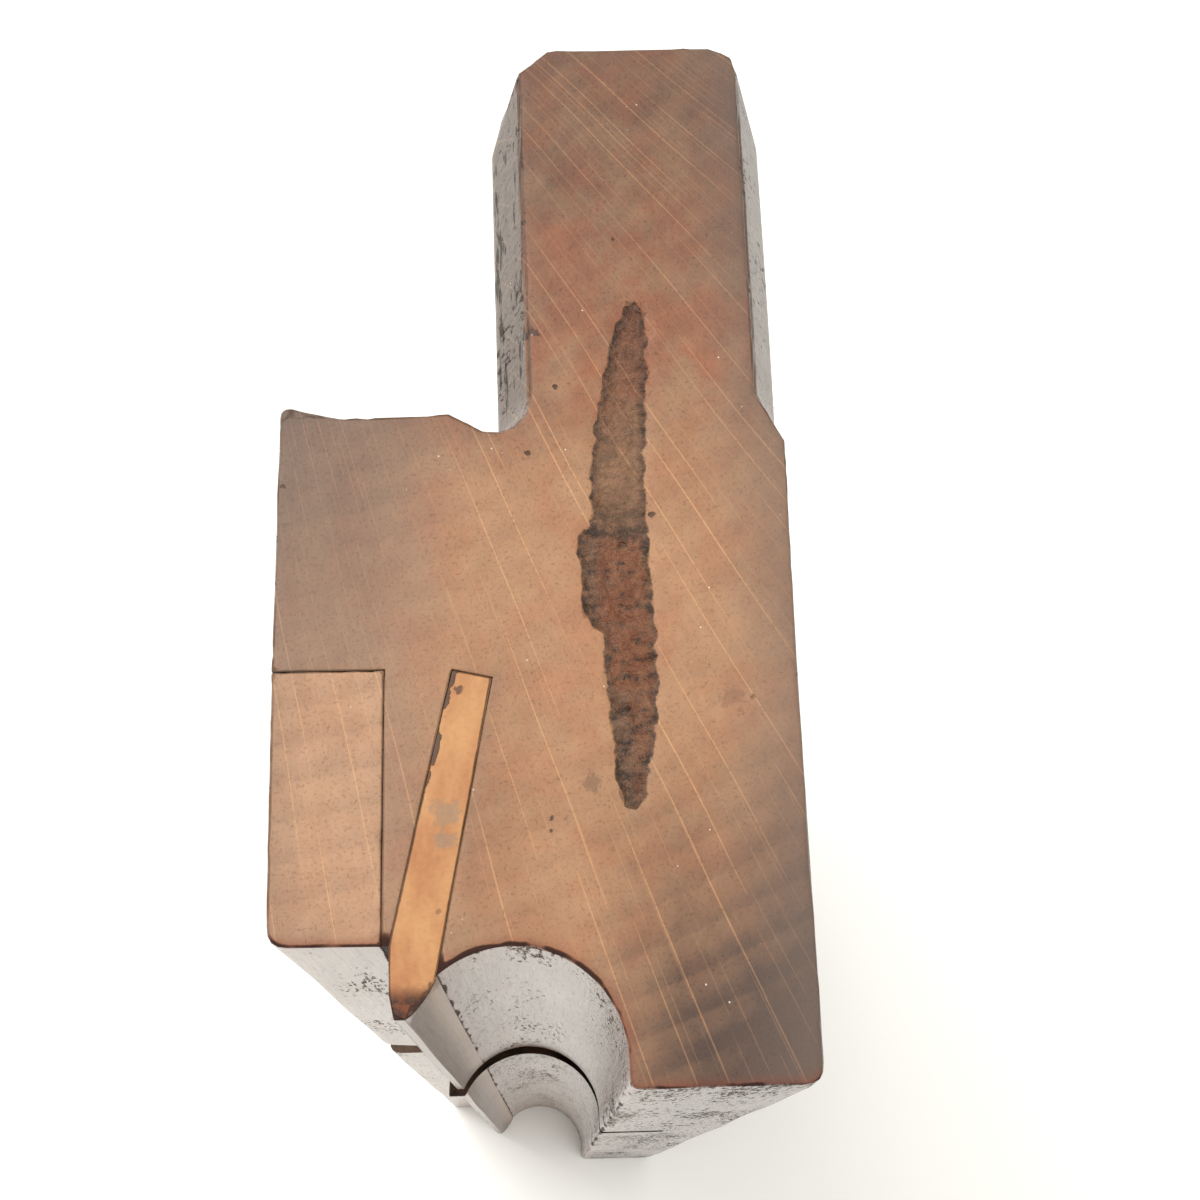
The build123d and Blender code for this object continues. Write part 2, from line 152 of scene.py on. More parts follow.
def outline(corners, radii, counts, steps=5):
    """A closed outline: an arc at each corner with a radius, and graded points along each side."""
    corners = np.array(corners, float)
    total = len(corners)
    arcs = []
    for i in range(total):
        if radii[i] > 0:
            arcs.append(corner_arc(corners[i - 1], corners[i], corners[(i + 1) % total],
                                   radii[i], steps))
        else:
            arcs.append(corners[i][None])
    rows = []
    for i in range(total):
        rows.append(arcs[i][:-1])
        rows.append(graded(arcs[i][-1], arcs[(i + 1) % total][0], counts[i]))
    return np.concatenate(rows)


def side_normals(points):
    """The outward normal at each point of a closed outline that runs against the clock."""
    along = np.roll(points, -1, axis=0) - np.roll(points, 1, axis=0)
    normals = np.stack([along[:, 1], -along[:, 0]], axis=1)
    return normals / np.maximum(np.linalg.norm(normals, axis=1, keepdims=True), 1e-9)


square = outline([(0, 0), (9, 0), (9, 9), (0, 9)], [1.0] * 4, [3] * 4)
print("a square with rounded corners has", len(square), "points")

# %% [markdown]
# ## The stock's end and its section
# The rows below go round the stock against the clock, seen from the toe. Each has a point of the
# end face, the matching point of the plain section behind the chamfers, the two corner radii, and
# how many points the side after it gets. At the grip the end face is drawn in by the chamfers. A
# gouge stroke ends the left one above the shoulder, a short slope ends the right one, and the
# shoulder's edge is worn to a dip.


# %% The stock's outlines
BOXING_TILT = np.radians(12.45)            # from upright
BOXING_DEPTH = 19.85                       # from the depth stop to its buried end
BOXING_WIDTH = 3.0
BOXING_OUT = (QUIRK + BOXING_DEPTH * np.tan(BOXING_TILT), SOLE + BOXING_DEPTH)
BOXING_IN = (BOXING_OUT[0] + BOXING_WIDTH * np.cos(BOXING_TILT),
             BOXING_OUT[1] - BOXING_WIDTH * np.sin(BOXING_TILT))
BOXING_ARC = 130.5                         # where the boxing meets the hollow, as an angle in it
FACE_LEFT, FACE_RIGHT = GRIP + 2.4, WIDTH - 2.2    # the end face between its chamfers
FACE_TOP = HEIGHT - 2.1
STOP_LOW, STOP_HIGH = 47.6, 51.6           # the right chamfer ends between these heights
CROWN_REACH, CROWN_DROP, CROWN_BULGE = 5.4, 8.2, 1.3   # the rounded top corners of the grip
GOUGE = 2.75                               # radius of the stroke above the shoulder
GOUGE_X, GOUGE_Y = GRIP - 0.2, SHOULDER + 1.2
GOUGE_SIDE, GOUGE_RISE = 2.3, 1.7          # how far the square corner's points spread from it
GOUGE_END = 12.7                           # the shoulder's edge starts here
SHOULDER_DIP = 0.25
LIP, LIP_WIDTH = 0.85, 5.0                 # the lip at the shoulder's outer corner


def same(x, y, radius=0.0, count=3):
    """A row whose point is the same on the end face and behind it."""
    return (x, y, x, y, radius, radius, count)


def bulged(low, high, bulge, share):
    """The point at this share of a chord, pushed outward by a parabola: 4 bulge share (1 - share)."""
    along = np.subtract(high, low)
    outward = np.array([along[1], -along[0]]) / np.linalg.norm(along)
    return low + along * share + outward * 4 * bulge * share * (1 - share)


def crown_rows(face_low, face_high, bulge, behind_low, behind_high, after):
    """A top corner of the grip: a small round on the end face, a large one behind the chamfer."""
    rows = []
    for share, count in zip(np.linspace(0, 1, 4), (3, 3, 3, after)):
        face = bulged(face_low, face_high, bulge, share)
        behind = bulged(behind_low, behind_high, CROWN_BULGE, share)
        rows.append((*face, *behind, 0, 0, count))
    return rows


def gouge_rows():
    """The stroke above the shoulder: an arc on the end face, and behind it a square corner."""
    rows = []
    for share in np.linspace(0, 1, 6):
        turn = np.radians(-135 * share)
        left = GRIP - GOUGE_SIDE * max(share - 0.4, 0) / 0.6
        up = SHOULDER + GOUGE_RISE * max(1 - share / 0.6, 0) ** 2
        x, y = GOUGE_X + GOUGE * np.cos(turn), GOUGE_Y + GOUGE * np.sin(turn)
        rows.append((x, y, left, up, 0, 0, 3))
    return rows


def worn_shoulder(side):
    """Height of the shoulder on the end face: half a sine of wear, and a lip at the corner."""
    dip = SHOULDER_DIP * np.sin(np.pi * side / GOUGE_END)
    return SHOULDER - dip + LIP * max(1 - side / LIP_WIDTH, 0)


stock_rows = [
    (FENCE, 0.0, FENCE, 0.0, 0.8, 0.6, 12),
    (WIDTH - 0.1, 0.0, WIDTH, 0.0, 1.5, 0.9, 40),
    (WIDTH - 0.1, STOP_LOW, WIDTH, STOP_LOW, 0, 0, 9),
    (FACE_RIGHT, STOP_HIGH, WIDTH, STOP_HIGH + 0.2, 0, 0, 28),
]
stock_rows += crown_rows((FACE_RIGHT, FACE_TOP - 2.0), (FACE_RIGHT - 2.0, FACE_TOP), 0.55,
                         (WIDTH, HEIGHT - CROWN_DROP), (WIDTH - CROWN_REACH, HEIGHT), 18)
stock_rows += crown_rows((FACE_LEFT + 2.3, FACE_TOP), (FACE_LEFT, FACE_TOP - 2.0), 0.0,
                         (GRIP + CROWN_REACH, HEIGHT), (GRIP, HEIGHT - CROWN_DROP), 24)
stock_rows += gouge_rows()
for side, count in ((GOUGE_END, 8), (7.4, 5), (5.0, 5), (3.0, 5)):
    stock_rows.append((side, worn_shoulder(side), side, SHOULDER, 0, 0, count))
stock_rows += [
    (0.0, worn_shoulder(0), 0.0, SHOULDER, 0.7, 0.9, 18),
    same(0.0, SLIP_TOP, 0.12, 8),
    same(SLIP, SLIP_TOP, 0, 16),
    same(SLIP, SOLE, 0, 1),
    same(QUIRK, SOLE, 0, 16),
    same(*BOXING_OUT, 0, 3),
    same(*BOXING_IN, 0, 16),
]
for turn in np.linspace(BOXING_ARC, 0, 46):
    stock_rows.append(same(*bead_point(turn), 0, 1))


def two_outlines(rows):
    """The outline on the end face, and the one behind the chamfers, with matching points."""
    table = np.array(rows, float)
    counts = table[:, 6].astype(int)
    face = outline(table[:, 0:2], table[:, 4], counts)
    plain = outline(table[:, 2:4], table[:, 5], counts)
    return face, plain


stock_face, stock_plain = two_outlines(stock_rows)
print("stock outline", len(stock_face), "points")

# %% [markdown]
# ## The skin
# A piece is a grid: once round the outline, and along the length in stations that crowd together
# at the ends. The first few stations turn a small quarter circle from the end face into the side,
# and its radius wanders, so no arris is equally sharp along its whole run. The toe's end face is
# filled with triangles no larger than a fraction of a millimetre, which the wear marks need; the
# heel's gets triangles of about two.


# %% The skin
ROUNDING = np.linspace(0, np.pi / 2, 5)


def add_object(mesh, name):
    """The finished bmesh as an object."""
    data = bpy.data.meshes.new(name)
    mesh.to_mesh(data)
    mesh.free()
    return bpy.data.objects.new(name, data)


def from_ends(points):
    """How far each point lies from the nearer end of the stock."""
    return np.minimum(points[:, 2], LENGTH - points[:, 2])


def stations(length, pitch):
    """Distances from one end: close by the end and the chamfer's edge, then evenly to the middle."""
    near = np.array([0.45, 0.8, 1.3, 2.0, 2.8, 3.6, 4.4, 5.1, 5.6, 6.0, 6.4, 7.0, 8.0, 9.5, 11.5])
    rest = np.arange(near[-1] + pitch, length / 2, pitch)
    return np.concatenate([near, rest])


def grown_face(d, face, plain):
    """The outline at this distance from the end: the blend of both, eased where it levels out."""
    share = np.mean(np.clip((d + np.array([-0.3, 0.0, 0.3])) / CHAMFER, 0, 1))
    return face + (plain - face) * share


def inside(points, ring):
    """Which points lie in the outline: a ray to the right crosses it an odd number of times."""
    x, y = points[:, 0:1], points[:, 1:2]
    ax, ay = ring[:, 0], ring[:, 1]
    bx, by = np.roll(ax, -1), np.roll(ay, -1)
    spans = (ay > y) != (by > y)
    reach = ax + (y - ay) / np.where(by == ay, 1e-12, by - ay) * (bx - ax)
    return (spans & (x < reach)).sum(axis=1) % 2 == 1


def from_outline(points, ring):
    """The shortest way from each point to the outline's sides."""
    a, b = ring, np.roll(ring, -1, axis=0)
    side = b - a
    long = np.maximum((side ** 2).sum(axis=1), 1e-12)
    best = np.full(len(points), np.inf)
    for part in range(0, len(points), 2000):
        p = points[part:part + 2000, None]
        t = np.clip(((p - a) * side).sum(axis=2) / long, 0, 1)
        best[part:part + 2000] = np.linalg.norm(p - a - t[..., None] * side, axis=2).min(axis=1)
    return best


def end_face(ring, spacing, seed):
    """Triangles that fill an outline, on its own points and a loose grid of points inside."""
    rng = np.random.default_rng(seed)
    low, high = ring.min(axis=0), ring.max(axis=0)
    x, y = np.meshgrid(np.arange(low[0], high[0], spacing), np.arange(low[1], high[1], spacing))
    grid = np.stack([x.ravel(), y.ravel()], axis=1)
    grid += rng.uniform(-0.3, 0.3, grid.shape) * spacing
    grid = grid[inside(grid, ring)]
    grid = grid[from_outline(grid, ring) > 0.45 * spacing]
    points = np.concatenate([ring, grid])
    found = delaunay_2d_cdt([Vector(p) for p in points.tolist()], [], [list(range(len(ring)))],
                            1, 1e-7)
    return np.array([v[:] for v in found[0]]), found[2]


def room_inward(points, normals):
    """How far each point can be drawn in before the outline would cross itself at a tight corner.

    A side of length e whose end normals differ by n shrinks to nothing at e / (n . side)."""
    side = np.roll(points, -1, axis=0) - points
    length = np.linalg.norm(side, axis=1)
    turn = ((np.roll(normals, -1, axis=0) - normals) * side).sum(axis=1) / length
    room = np.where(turn > 1e-6, 0.7 * length / np.maximum(turn, 1e-6), np.inf)
    return np.min([np.roll(room, shift) for shift in range(-2, 4)], axis=0)


def wooden_piece(name, face, plain, arris, spacing=0.5, pitch=2.6, seed=1):
    """A closed worn piece along the whole stock, from its two outlines.

    Ring k lies at distance d(k) from an end. On the rounded arris, at angle a, it is drawn in by
    r(1 - sin a) and lies r(1 - cos a) in from the end; beyond it, it is the blended outline."""
    count = len(face)
    normals = side_normals(face)
    wear = arris * (1 + 0.4 * wander(face, 7.0, seed) + 0.4 * wander(face, 2.4, seed + 50))
    wear = np.minimum(np.clip(wear, 0.3 * arris, 2.4 * arris), room_inward(face, normals))
    rings = []
    for angle in ROUNDING:
        ring = face - normals * (wear * (1 - np.sin(angle)))[:, None]
        rings.append(np.column_stack([ring, wear * (1 - np.cos(angle))]))
    along = stations(LENGTH, pitch)
    for d in along:
        rings.append(np.column_stack([grown_face(d, face, plain), np.full(count, d)]))
    toe = np.stack(rings)
    toe[:, :, 2] = LENGTH - toe[:, :, 2]
    heel = np.stack(rings)[::-1]
    grid = np.concatenate([toe, heel])
    row, col = np.meshgrid(np.arange(len(grid) - 1), np.arange(count), indexing="ij")
    nxt = (col + 1) % count
    quads = np.stack([row * count + col, (row + 1) * count + col,
                      (row + 1) * count + nxt, row * count + nxt], axis=-1).reshape(-1, 4)
    mesh = bmesh.new()
    verts = [mesh.verts.new(p) for p in grid.reshape(-1, 3).tolist()]
    for quad in quads.tolist():
        mesh.faces.new([verts[i] for i in quad])
    for ring, z, flip in ((grid[0], LENGTH, False), (grid[-1], 0.0, True)):
        cap_points, cap_faces = end_face(ring[:, :2], 2.0 if flip else spacing, seed)
        cap = [mesh.verts.new((p[0], p[1], z)) for p in cap_points.tolist()]
        for face_ids in cap_faces:
            ids = list(face_ids)[::-1] if flip else list(face_ids)
            mesh.faces.new([cap[i] for i in ids])
    bmesh.ops.remove_doubles(mesh, verts=mesh.verts, dist=1e-4)
    piece = add_object(mesh, name)
    bpy.context.collection.objects.link(piece)
    return piece


def read_points(parts, name="co"):
    """The places of a mesh's vertices, or the centres of its faces, one row each."""
    points = np.empty(len(parts) * 3)
    parts.foreach_get(name, points)
    return points.reshape(-1, 3)


def write_points(piece, points):
    piece.data.vertices.foreach_set("co", points.ravel())
    piece.data.update()


def bend_wood(points):
    """The stock's slight unevenness, up to about 0.1 mm and the same for neighbours, so that
    their joints stay closed."""
    moved = points.copy()
    for axis, seed in ((0, 11), (1, 12)):
        moved[:, axis] += 0.10 * wander(points, 46.0, seed, 8)
    return moved


print("bending moves a point by", (bend_wood(np.zeros((1, 3)))[0]).round(3), "mm")

# %% [markdown]
# ## The cutters
# The throat is the space the shavings leave through. It is cut as it is by hand: a slot for the
# mouth, a well for the blade, a tapered mortise for the tang and the wedge, and a round eye that
# narrows from the shoulder side to the mouth. Each is a closed shape that Blender's Boolean
# modifier takes away, so every piece that meets the throat is cut by the same walls.


# %% Cutters
UP = np.array([0.0, np.sin(PITCH), -np.cos(PITCH)])       # along the bed, out of the top
FRONT = np.array([0.0, np.cos(PITCH), np.sin(PITCH)])     # square to it, toward the toe
ACROSS = np.array([1.0, 0.0, 0.0])
EDGE = np.array([0.0, SOLE, EDGE_Z])                      # the iron's front face at the sole
ROOM = 0.3                                 # round the blade
TIP_RISE, TIP_FRONT = 15.0, 1.6            # the wedge's tip: up the bed, and before the iron
TAPER = np.tan(np.radians(10.0))           # the wedge's
MORTISE = (GRIP + 3.6, GRIP + 10.9)        # its two cheeks
MORTISE_TOP = 150.0                        # up the bed and past the stock's top
EYE_WIDE = np.array([18.5, 8.0, 15.5])     # up the bed, before it, radius: 1 mm outside the stock
EYE_NARROW = np.array([13.0, 5.0, 6.0])    # the same at the eye's end
EYE_END = FENCE + 4.0
EYE_LIP = ((-2.0, 2.2), (-0.3, 0.75), (0.15, 0.3), (0.6, 0.08), (1.2, 0.0))    # depth, extra radius


def loft(name, rings):
    """A closed solid through rings of equally many points; its two ends are flat."""
    count = len(rings[0])
    mesh = bmesh.new()
    verts = [[mesh.verts.new(p) for p in ring] for ring in np.asarray(rings).tolist()]
    for one, other in zip(verts, verts[1:]):
        for i in range(count):
            j = (i + 1) % count
            mesh.faces.new([one[i], one[j], other[j], other[i]])
    mesh.faces.new(verts[0][::-1])
    mesh.faces.new(verts[-1])
    bmesh.ops.recalc_face_normals(mesh, faces=mesh.faces)
    return add_object(mesh, name)


def prism(name, flat, first, second, origin, way):
    """The flat outline's points, laid along two directions from an origin, carried along a way."""
    flat = np.asarray(flat, float)
    ring = origin + flat[:, :1] * first + flat[:, 1:] * second
    return loft(name, [ring, ring + way])


def circle(count):
    """The angles of this many points round a circle."""
    return np.linspace(0, 2 * np.pi, count + 1)[:-1]


def eye_ring(x, extra):
    """A circle round the eye's axis at this depth, wider by extra, cut flat by the bed."""
    share = (x + 1.0) / (EYE_END + 1.0)
    rise, offset, radius = EYE_WIDE + (EYE_NARROW - EYE_WIDE) * share
    turn = circle(96)
    up = rise + (radius + extra) * np.cos(turn)
    front = np.maximum(offset + (radius + extra) * np.sin(turn), -IRON)
    return EDGE + x * ACROSS + up[:, None] * UP + front[:, None] * FRONT


blade_left, blade_right = iron_low[0] - SIDE - ROOM, iron_high[0] - SIDE + ROOM
mouth_cutter = prism(
    "mouth_cutter",
    [(-2, -IRON), (blade_right, -IRON), (blade_right, 0.8), (FENCE, 0.8), (QUIRK, 2.0), (-2, 8.0)],
    ACROSS, FRONT, EDGE + UP * 30.0, -UP * 70.0)
well_cutter = prism(
    "well_cutter",
    [(blade_left, -2), (blade_left, 40), (MORTISE[0], 48), (MORTISE[1], 48), (blade_right, 40),
     (blade_right, -2)],
    ACROSS, UP, EDGE - FRONT * IRON, FRONT * (IRON + ROOM))
mortise_cutter = prism(
    "mortise_cutter",
    [(TIP_RISE, -IRON), (TIP_RISE, TIP_FRONT),
     (MORTISE_TOP, TIP_FRONT + (MORTISE_TOP - TIP_RISE) * TAPER), (MORTISE_TOP, -IRON)],
    UP, FRONT, EDGE + ACROSS * MORTISE[0], ACROSS * (MORTISE[1] - MORTISE[0]))
eye_cutter = loft("eye_cutter", [eye_ring(x, extra) for x, extra in (*EYE_LIP, (EYE_END, 0.0))])
beyond_all = [(-40, -120), (160, -120), (160, 300), (-40, 300)]
behind_bed, before_bed = (
    prism(name, beyond_all, ACROSS, UP, EDGE - FRONT * IRON - ACROSS * 40, FRONT * way)
    for name, way in (("behind_bed", -400), ("before_bed", 400)))


def cut(piece, *cutters):
    """Takes the cutters away from the piece and keeps the result as its mesh."""
    for cutter in cutters:
        bpy.context.collection.objects.link(cutter)
        tool = piece.modifiers.new("cut", "BOOLEAN")
        tool.operation = "DIFFERENCE"
        tool.solver = "MANIFOLD"
        tool.object = cutter
    graph = bpy.context.evaluated_depsgraph_get()
    result = bpy.data.meshes.new_from_object(piece.evaluated_get(graph))
    piece.modifiers.clear()
    piece.data = result
    for cutter in cutters:
        bpy.context.collection.objects.unlink(cutter)
    print(piece.name, "after cutting:", len(result.polygons), "faces")


def screw_rows(node):
    """The middle height and the two places along the stock of a pair of screws."""
    low, high = box_mm(node)
    radius = (high[1] - low[1]) / 2
    return (low[1] + high[1]) / 2 - FOOT, (low[2] + radius, high[2] - radius)


def round_cutter(name, node, profile):
    """Solids of revolution along X, one at each screw: radius as a function of depth."""
    height, places = screw_rows(node)
    turn = circle(32)
    solids = []
    for place in places:
        rings = []
        for x, r in profile:
            up, along = height + r * np.cos(turn), place + r * np.sin(turn)
            rings.append(np.column_stack([np.full(len(turn), x), up, along]))
        solids.append(loft(name, rings))
    return solids


HOLE = ((-1.0, 1.8), (20.2, 1.8))          # depth and radius of the screw's hole
SINK = ((-0.5, 4.3), (0.25, 3.55), (1.95, 1.85), (20.2, 1.8))      # the same, countersunk
for cutter in (mouth_cutter, well_cutter, mortise_cutter, eye_cutter):
    print(cutter.name, len(cutter.data.vertices), "points")

# %% [markdown]
# ## The stock
# The skin is made whole and then cut: first the mouth's slot, the blade's well, the mortise and
# the eye, then the four screw holes. The end face is pressed in a little along the old scar, where
# a mark was beaten into the wood and later scraped away. The cut mesh keeps one number per point,
# its distance from the nearest arris, because dirt and handling colour a tool along its edges.


# %% The stock
ARRIS_THIN, ARRIS_JOINT, ARRIS = 0.05, 0.14, 0.34  # arris radii: thin wood, joints, all else


def thin_at_cheek(points):
    """The arris radius round the stock's end: small where the wood beside the slip is thin."""
    x, y = points[:, 0], points[:, 1]
    thin = (x > SLIP - 0.1) & (x < QUIRK + 1.6) & (y < SOLE + 7)
    joint = (x > -1) & (x < BOXING_IN[0] + 0.2) & (y < SLIP_TOP + 0.2)
    return np.where(thin, ARRIS_THIN, np.where(joint, ARRIS_JOINT, ARRIS))


SCAR_LOW, SCAR_HIGH = 19.3, 59.5           # the scar's lower and upper end
SCAR_SIDE = 25.8                           # its middle line, from the shoulder side
SCAR_HALF = 2.15                           # half its greatest width
FLAKE_LOW, FLAKE_HIGH, FLAKE = 34.0, 40.5, 1.0     # a flake gone from its left edge
OUTSIDE = -3.0                             # stands for every point far outside the scar


def scar_depth(points):
    """How far inside the scar a point of the end face is, in mm; negative outside it.

    The middle line sways as a sine and leans over toward the top. Half the width is a flat arch
    over the height, (4 s (1 - s)) to the power 0.4, and the flake widens it on the left."""
    across, up = points[:, 0], points[:, 1]
    share = np.clip((up - SCAR_LOW) / (SCAR_HIGH - SCAR_LOW), 0, 1)
    middle = SCAR_SIDE + 0.3 * np.sin(8 * share) + 1.2 * share ** 6
    half = SCAR_HALF * (4 * share * (1 - share)) ** 0.4
    flake = smooth(FLAKE_LOW - 1.5, FLAKE_LOW, up) * smooth(FLAKE_HIGH + 0.4, FLAKE_HIGH, up)
    within = np.minimum(across - middle + half + FLAKE * flake, middle + half - across)
    past = np.maximum(np.maximum(SCAR_LOW - up, up - SCAR_HIGH), 0)
    return np.maximum(within - 2 * past + 0.16 * wander(points[:, :2], 2.3, 71), OUTSIDE)


FAR = 40                                   # from here on no edge colours the wood


def nearest_arris(points, face, plain, corners):
    """The distance to the nearest edge: of the end faces, or of the section's own corners."""
    d = np.clip(from_ends(points), 0, None)
    share = np.clip(d / CHAMFER, 0, 1)[:, None]
    best = np.full(len(points), np.inf)
    for at_end, behind in corners:
        place = np.array(at_end) * (1 - share) + np.array(behind) * share
        best = np.minimum(best, np.linalg.norm(points[:, :2] - place, axis=1))
    near = d < 8
    rim = from_outline(points[near, :2], face)
    rim_inside = from_outline(points[near, :2], plain)
    rim = np.where(d[near] < 0.5, rim, np.minimum(rim, rim_inside))
    best[near] = np.minimum(best[near], np.hypot(rim, d[near]))
    ends = np.hypot(d, from_outline(points[:, :2], plain))
    return np.minimum(best, np.where(d < FAR, ends, FAR))


def note(piece, name, values, domain="POINT"):
    """Keeps one number per point or face on the piece, for its material to read."""
    layer = piece.data.attributes.new(name, "FLOAT", domain)
    layer.data.foreach_set("value", np.asarray(values, np.float32))


def note_throat_walls(piece, plain):
    """Keeps one number per face: 1 on the throat's walls and in the screw holes, which the finishes
    darken.
    """
    centres = read_points(piece.data.polygons, "center")
    throat = (from_outline(centres[:, :2], plain) > 0.3) & (from_ends(centres) > CHAMFER + 1)
    note(piece, "throat_walls", throat, "FACE")


def shade_smooth(piece, angle):
    """Smooth shading, but for edges sharper than this many degrees."""
    piece.data.polygons.foreach_set("use_smooth", np.ones(len(piece.data.polygons), bool))
    piece.data.set_sharp_from_angle(angle=np.radians(angle))


def place_and_smooth(piece):
    """Moves the piece's mesh from the end face's corner to the row frame and smooths it."""
    points = read_points(piece.data.vertices)
    write_points(piece, (points + (SIDE, FOOT, 0)) * MM)
    shade_smooth(piece, 32)


def sharp_corners(rows, least):
    """The outline's corners that turn by more than this many degrees, on the face and behind it."""
    table = np.array(rows, float)
    behind = table[:, 2:4]
    one = behind - np.roll(behind, 1, axis=0)
    two = np.roll(behind, -1, axis=0) - behind
    cross = one[:, 0] * two[:, 1] - one[:, 1] * two[:, 0]
    turn = np.degrees(np.arctan2(cross, (one * two).sum(axis=1)))
    return [(row[0:2], row[2:4]) for row, angle in zip(table, turn) if abs(angle) > least]


stock = wooden_piece("stock_worn", stock_face, stock_plain, thin_at_cheek(stock_face), seed=3)
points = read_points(stock.data.vertices)
pressed = (points[:, 2] > LENGTH - 0.01) & (points[:, 0] > 20) & (points[:, 0] < 32)
depth = smooth(-0.1, 0.5, scar_depth(points)) * (0.3 + 0.16 * wander(points[:, :2], 2.1, 72))
points[:, 2] -= np.where(pressed, depth, 0)
flat = points[:, 2] > LENGTH - 1
points[:, 2] -= np.where(flat, 0.03 * (1 + wander(points[:, :2], 17.0, 73)), 0)
write_points(stock, bend_wood(points))
throat = [mouth_cutter, well_cutter, mortise_cutter, eye_cutter]
screw_holes = [*round_cutter("hole", "slip_screws_toe", HOLE),
               *round_cutter("hole", "slip_screws_heel", HOLE)]
cut(stock, *throat, *screw_holes)
points = read_points(stock.data.vertices)
corners = sharp_corners(stock_rows, 25)
note(stock, "arris", nearest_arris(points, stock_face, stock_plain, corners))
note_throat_walls(stock, stock_plain)
note(stock, "scar", np.where(points[:, 2] > LENGTH - 3, scar_depth(points), OUTSIDE))
place_and_smooth(stock)
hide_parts("stock")
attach(stock, "stock")

# %% [markdown]
# ## Slip and boxing
# Both strips run the whole length, so each is made once by the same skin and cut twice: the mouth
# divides it, and what lies behind the bed is the heel's piece. The slip's outer lower edge is the
# most worn of the whole tool, since it slides along the bench. The boxing's buried end stays sharp.

# %% Slip and boxing
slip_rows = [
    same(0.1, SOLE + 0.1, 1.5, 14),
    same(SLIP - 0.02, SOLE, 0.15, 26),
    same(SLIP - 0.02, SLIP_TOP - 0.06, 0.1, 14),
    same(0.0, SLIP_TOP - 0.06, 0.15, 26),
]
TIP_ARC = 180 - np.degrees(np.arcsin((QUIRK_TIP - BEAD_Y) / BEAD))
BLUNT = 0.065                              # how far its worn end bulges into the hollow, in radii
boxing_rows = [
    same(QUIRK, SOLE, 0, 14),
    same(QUIRK, QUIRK_TIP + 1.7, 0.4, 4),
    same(QUIRK + 0.35, QUIRK_TIP, 0.15, 4),
]
for turn in np.linspace(TIP_ARC, BOXING_ARC, 10):
    x, y = bead_point(turn)
    blunt = BLUNT * np.sin(np.pi * (TIP_ARC - turn) / (TIP_ARC - BOXING_ARC)) ** 0.6
    boxing_rows.append((x + (BEAD_X - x) * blunt, y + (BEAD_Y - y) * blunt, x, y, 0, 0, 2))
boxing_rows += [
    same(BOXING_IN[0] - 0.03, BOXING_IN[1] - 0.03, 0.12, 10),
    same(BOXING_OUT[0] + 0.02, BOXING_OUT[1] - 0.04, 0.12, 30),
]
strips = (("slip", slip_rows, 0.22, "slip_beech", SINK, 21),
          ("boxing", boxing_rows, 0.10, "boxwood", HOLE, 31))
wooden = {"stock": stock}
for kind, rows, arris, finish, drill, seed in strips:
    face, plain = two_outlines(rows)
    for end, away in (("toe", behind_bed), ("heel", before_bed)):
        strip = wooden_piece(f"{kind}_{end}_worn", face, plain, arris, spacing=0.45, seed=seed)
        write_points(strip, bend_wood(read_points(strip.data.vertices)))
        drills = round_cutter("drill", f"slip_screws_{end}", drill)
        cut(strip, away, mouth_cutter, well_cutter, eye_cutter, *drills)
        points = read_points(strip.data.vertices)
        note_throat_walls(strip, plain)
        note(strip, "arris", nearest_arris(points, face, plain, sharp_corners(rows, 40)))
        place_and_smooth(strip)
        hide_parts(f"{kind}_{end}")
        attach(strip, "stock" if kind == "boxing" else f"slip_{end}")
        wooden[f"{kind}_{end}"] = strip

# %% [markdown]
# ## Iron, wedge and screws
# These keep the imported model's shapes. Each is a copy whose doubled points are merged and whose
# flat triangles are joined again, with a narrow Bevel that breaks its edges: the iron's least,
# since it was filed, and the wedge's most, since a mallet has struck it for a hundred years.


# %% Iron, wedge and screws
def broken_edges(node, name, width, segments):
    """A copy of a node's mesh with merged points, joined flats and bevelled edges."""
    piece = nodes[node].copy()
    piece.data = nodes[node].data.copy()
    piece.name = name
    bpy.context.collection.objects.link(piece)
    mesh = bmesh.new()
    mesh.from_mesh(piece.data)
    bmesh.ops.remove_doubles(mesh, verts=mesh.verts, dist=1e-6)
    bmesh.ops.dissolve_limit(mesh, angle_limit=np.radians(1.0), verts=mesh.verts, edges=mesh.edges)
    mesh.to_mesh(piece.data)
    mesh.free()
    soft = piece.modifiers.new("broken edges", "BEVEL")
    soft.width = width * MM
    soft.segments = segments
    soft.limit_method = "ANGLE"
    soft.angle_limit = np.radians(28)
    soft.harden_normals = True
    shade_smooth(piece, 28)
    piece.data.materials.clear()
    return piece


metal_and_wedge = {}
for node, name, width, segments, finish, body in (
        ("iron", "iron_filed", 0.18, 2, "iron", "iron"),
        ("wedge", "wedge_worn", 0.6, 4, "wedge_beech", "wedge"),
        ("slip_screws_toe", "screws_toe_worn", 0.12, 2, "screw_steel", "slip_toe"),
        ("slip_screws_heel", "screws_heel_worn", 0.12, 2, "screw_steel", "slip_heel")):
    piece = broken_edges(node, name, width, segments)
    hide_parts(node)
    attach(piece, body)
    metal_and_wedge[node] = piece
    print(name, len(piece.data.polygons), "faces before the bevel")

# %% [markdown]
# ## Shader arithmetic
# A finish is mostly sums: so much darker here, by this pattern times that one. A socket is
# wrapped so that plus, minus, times, over and power add the Math nodes, and one method adds any
# other node. The finishes below then read as the formulas they are.


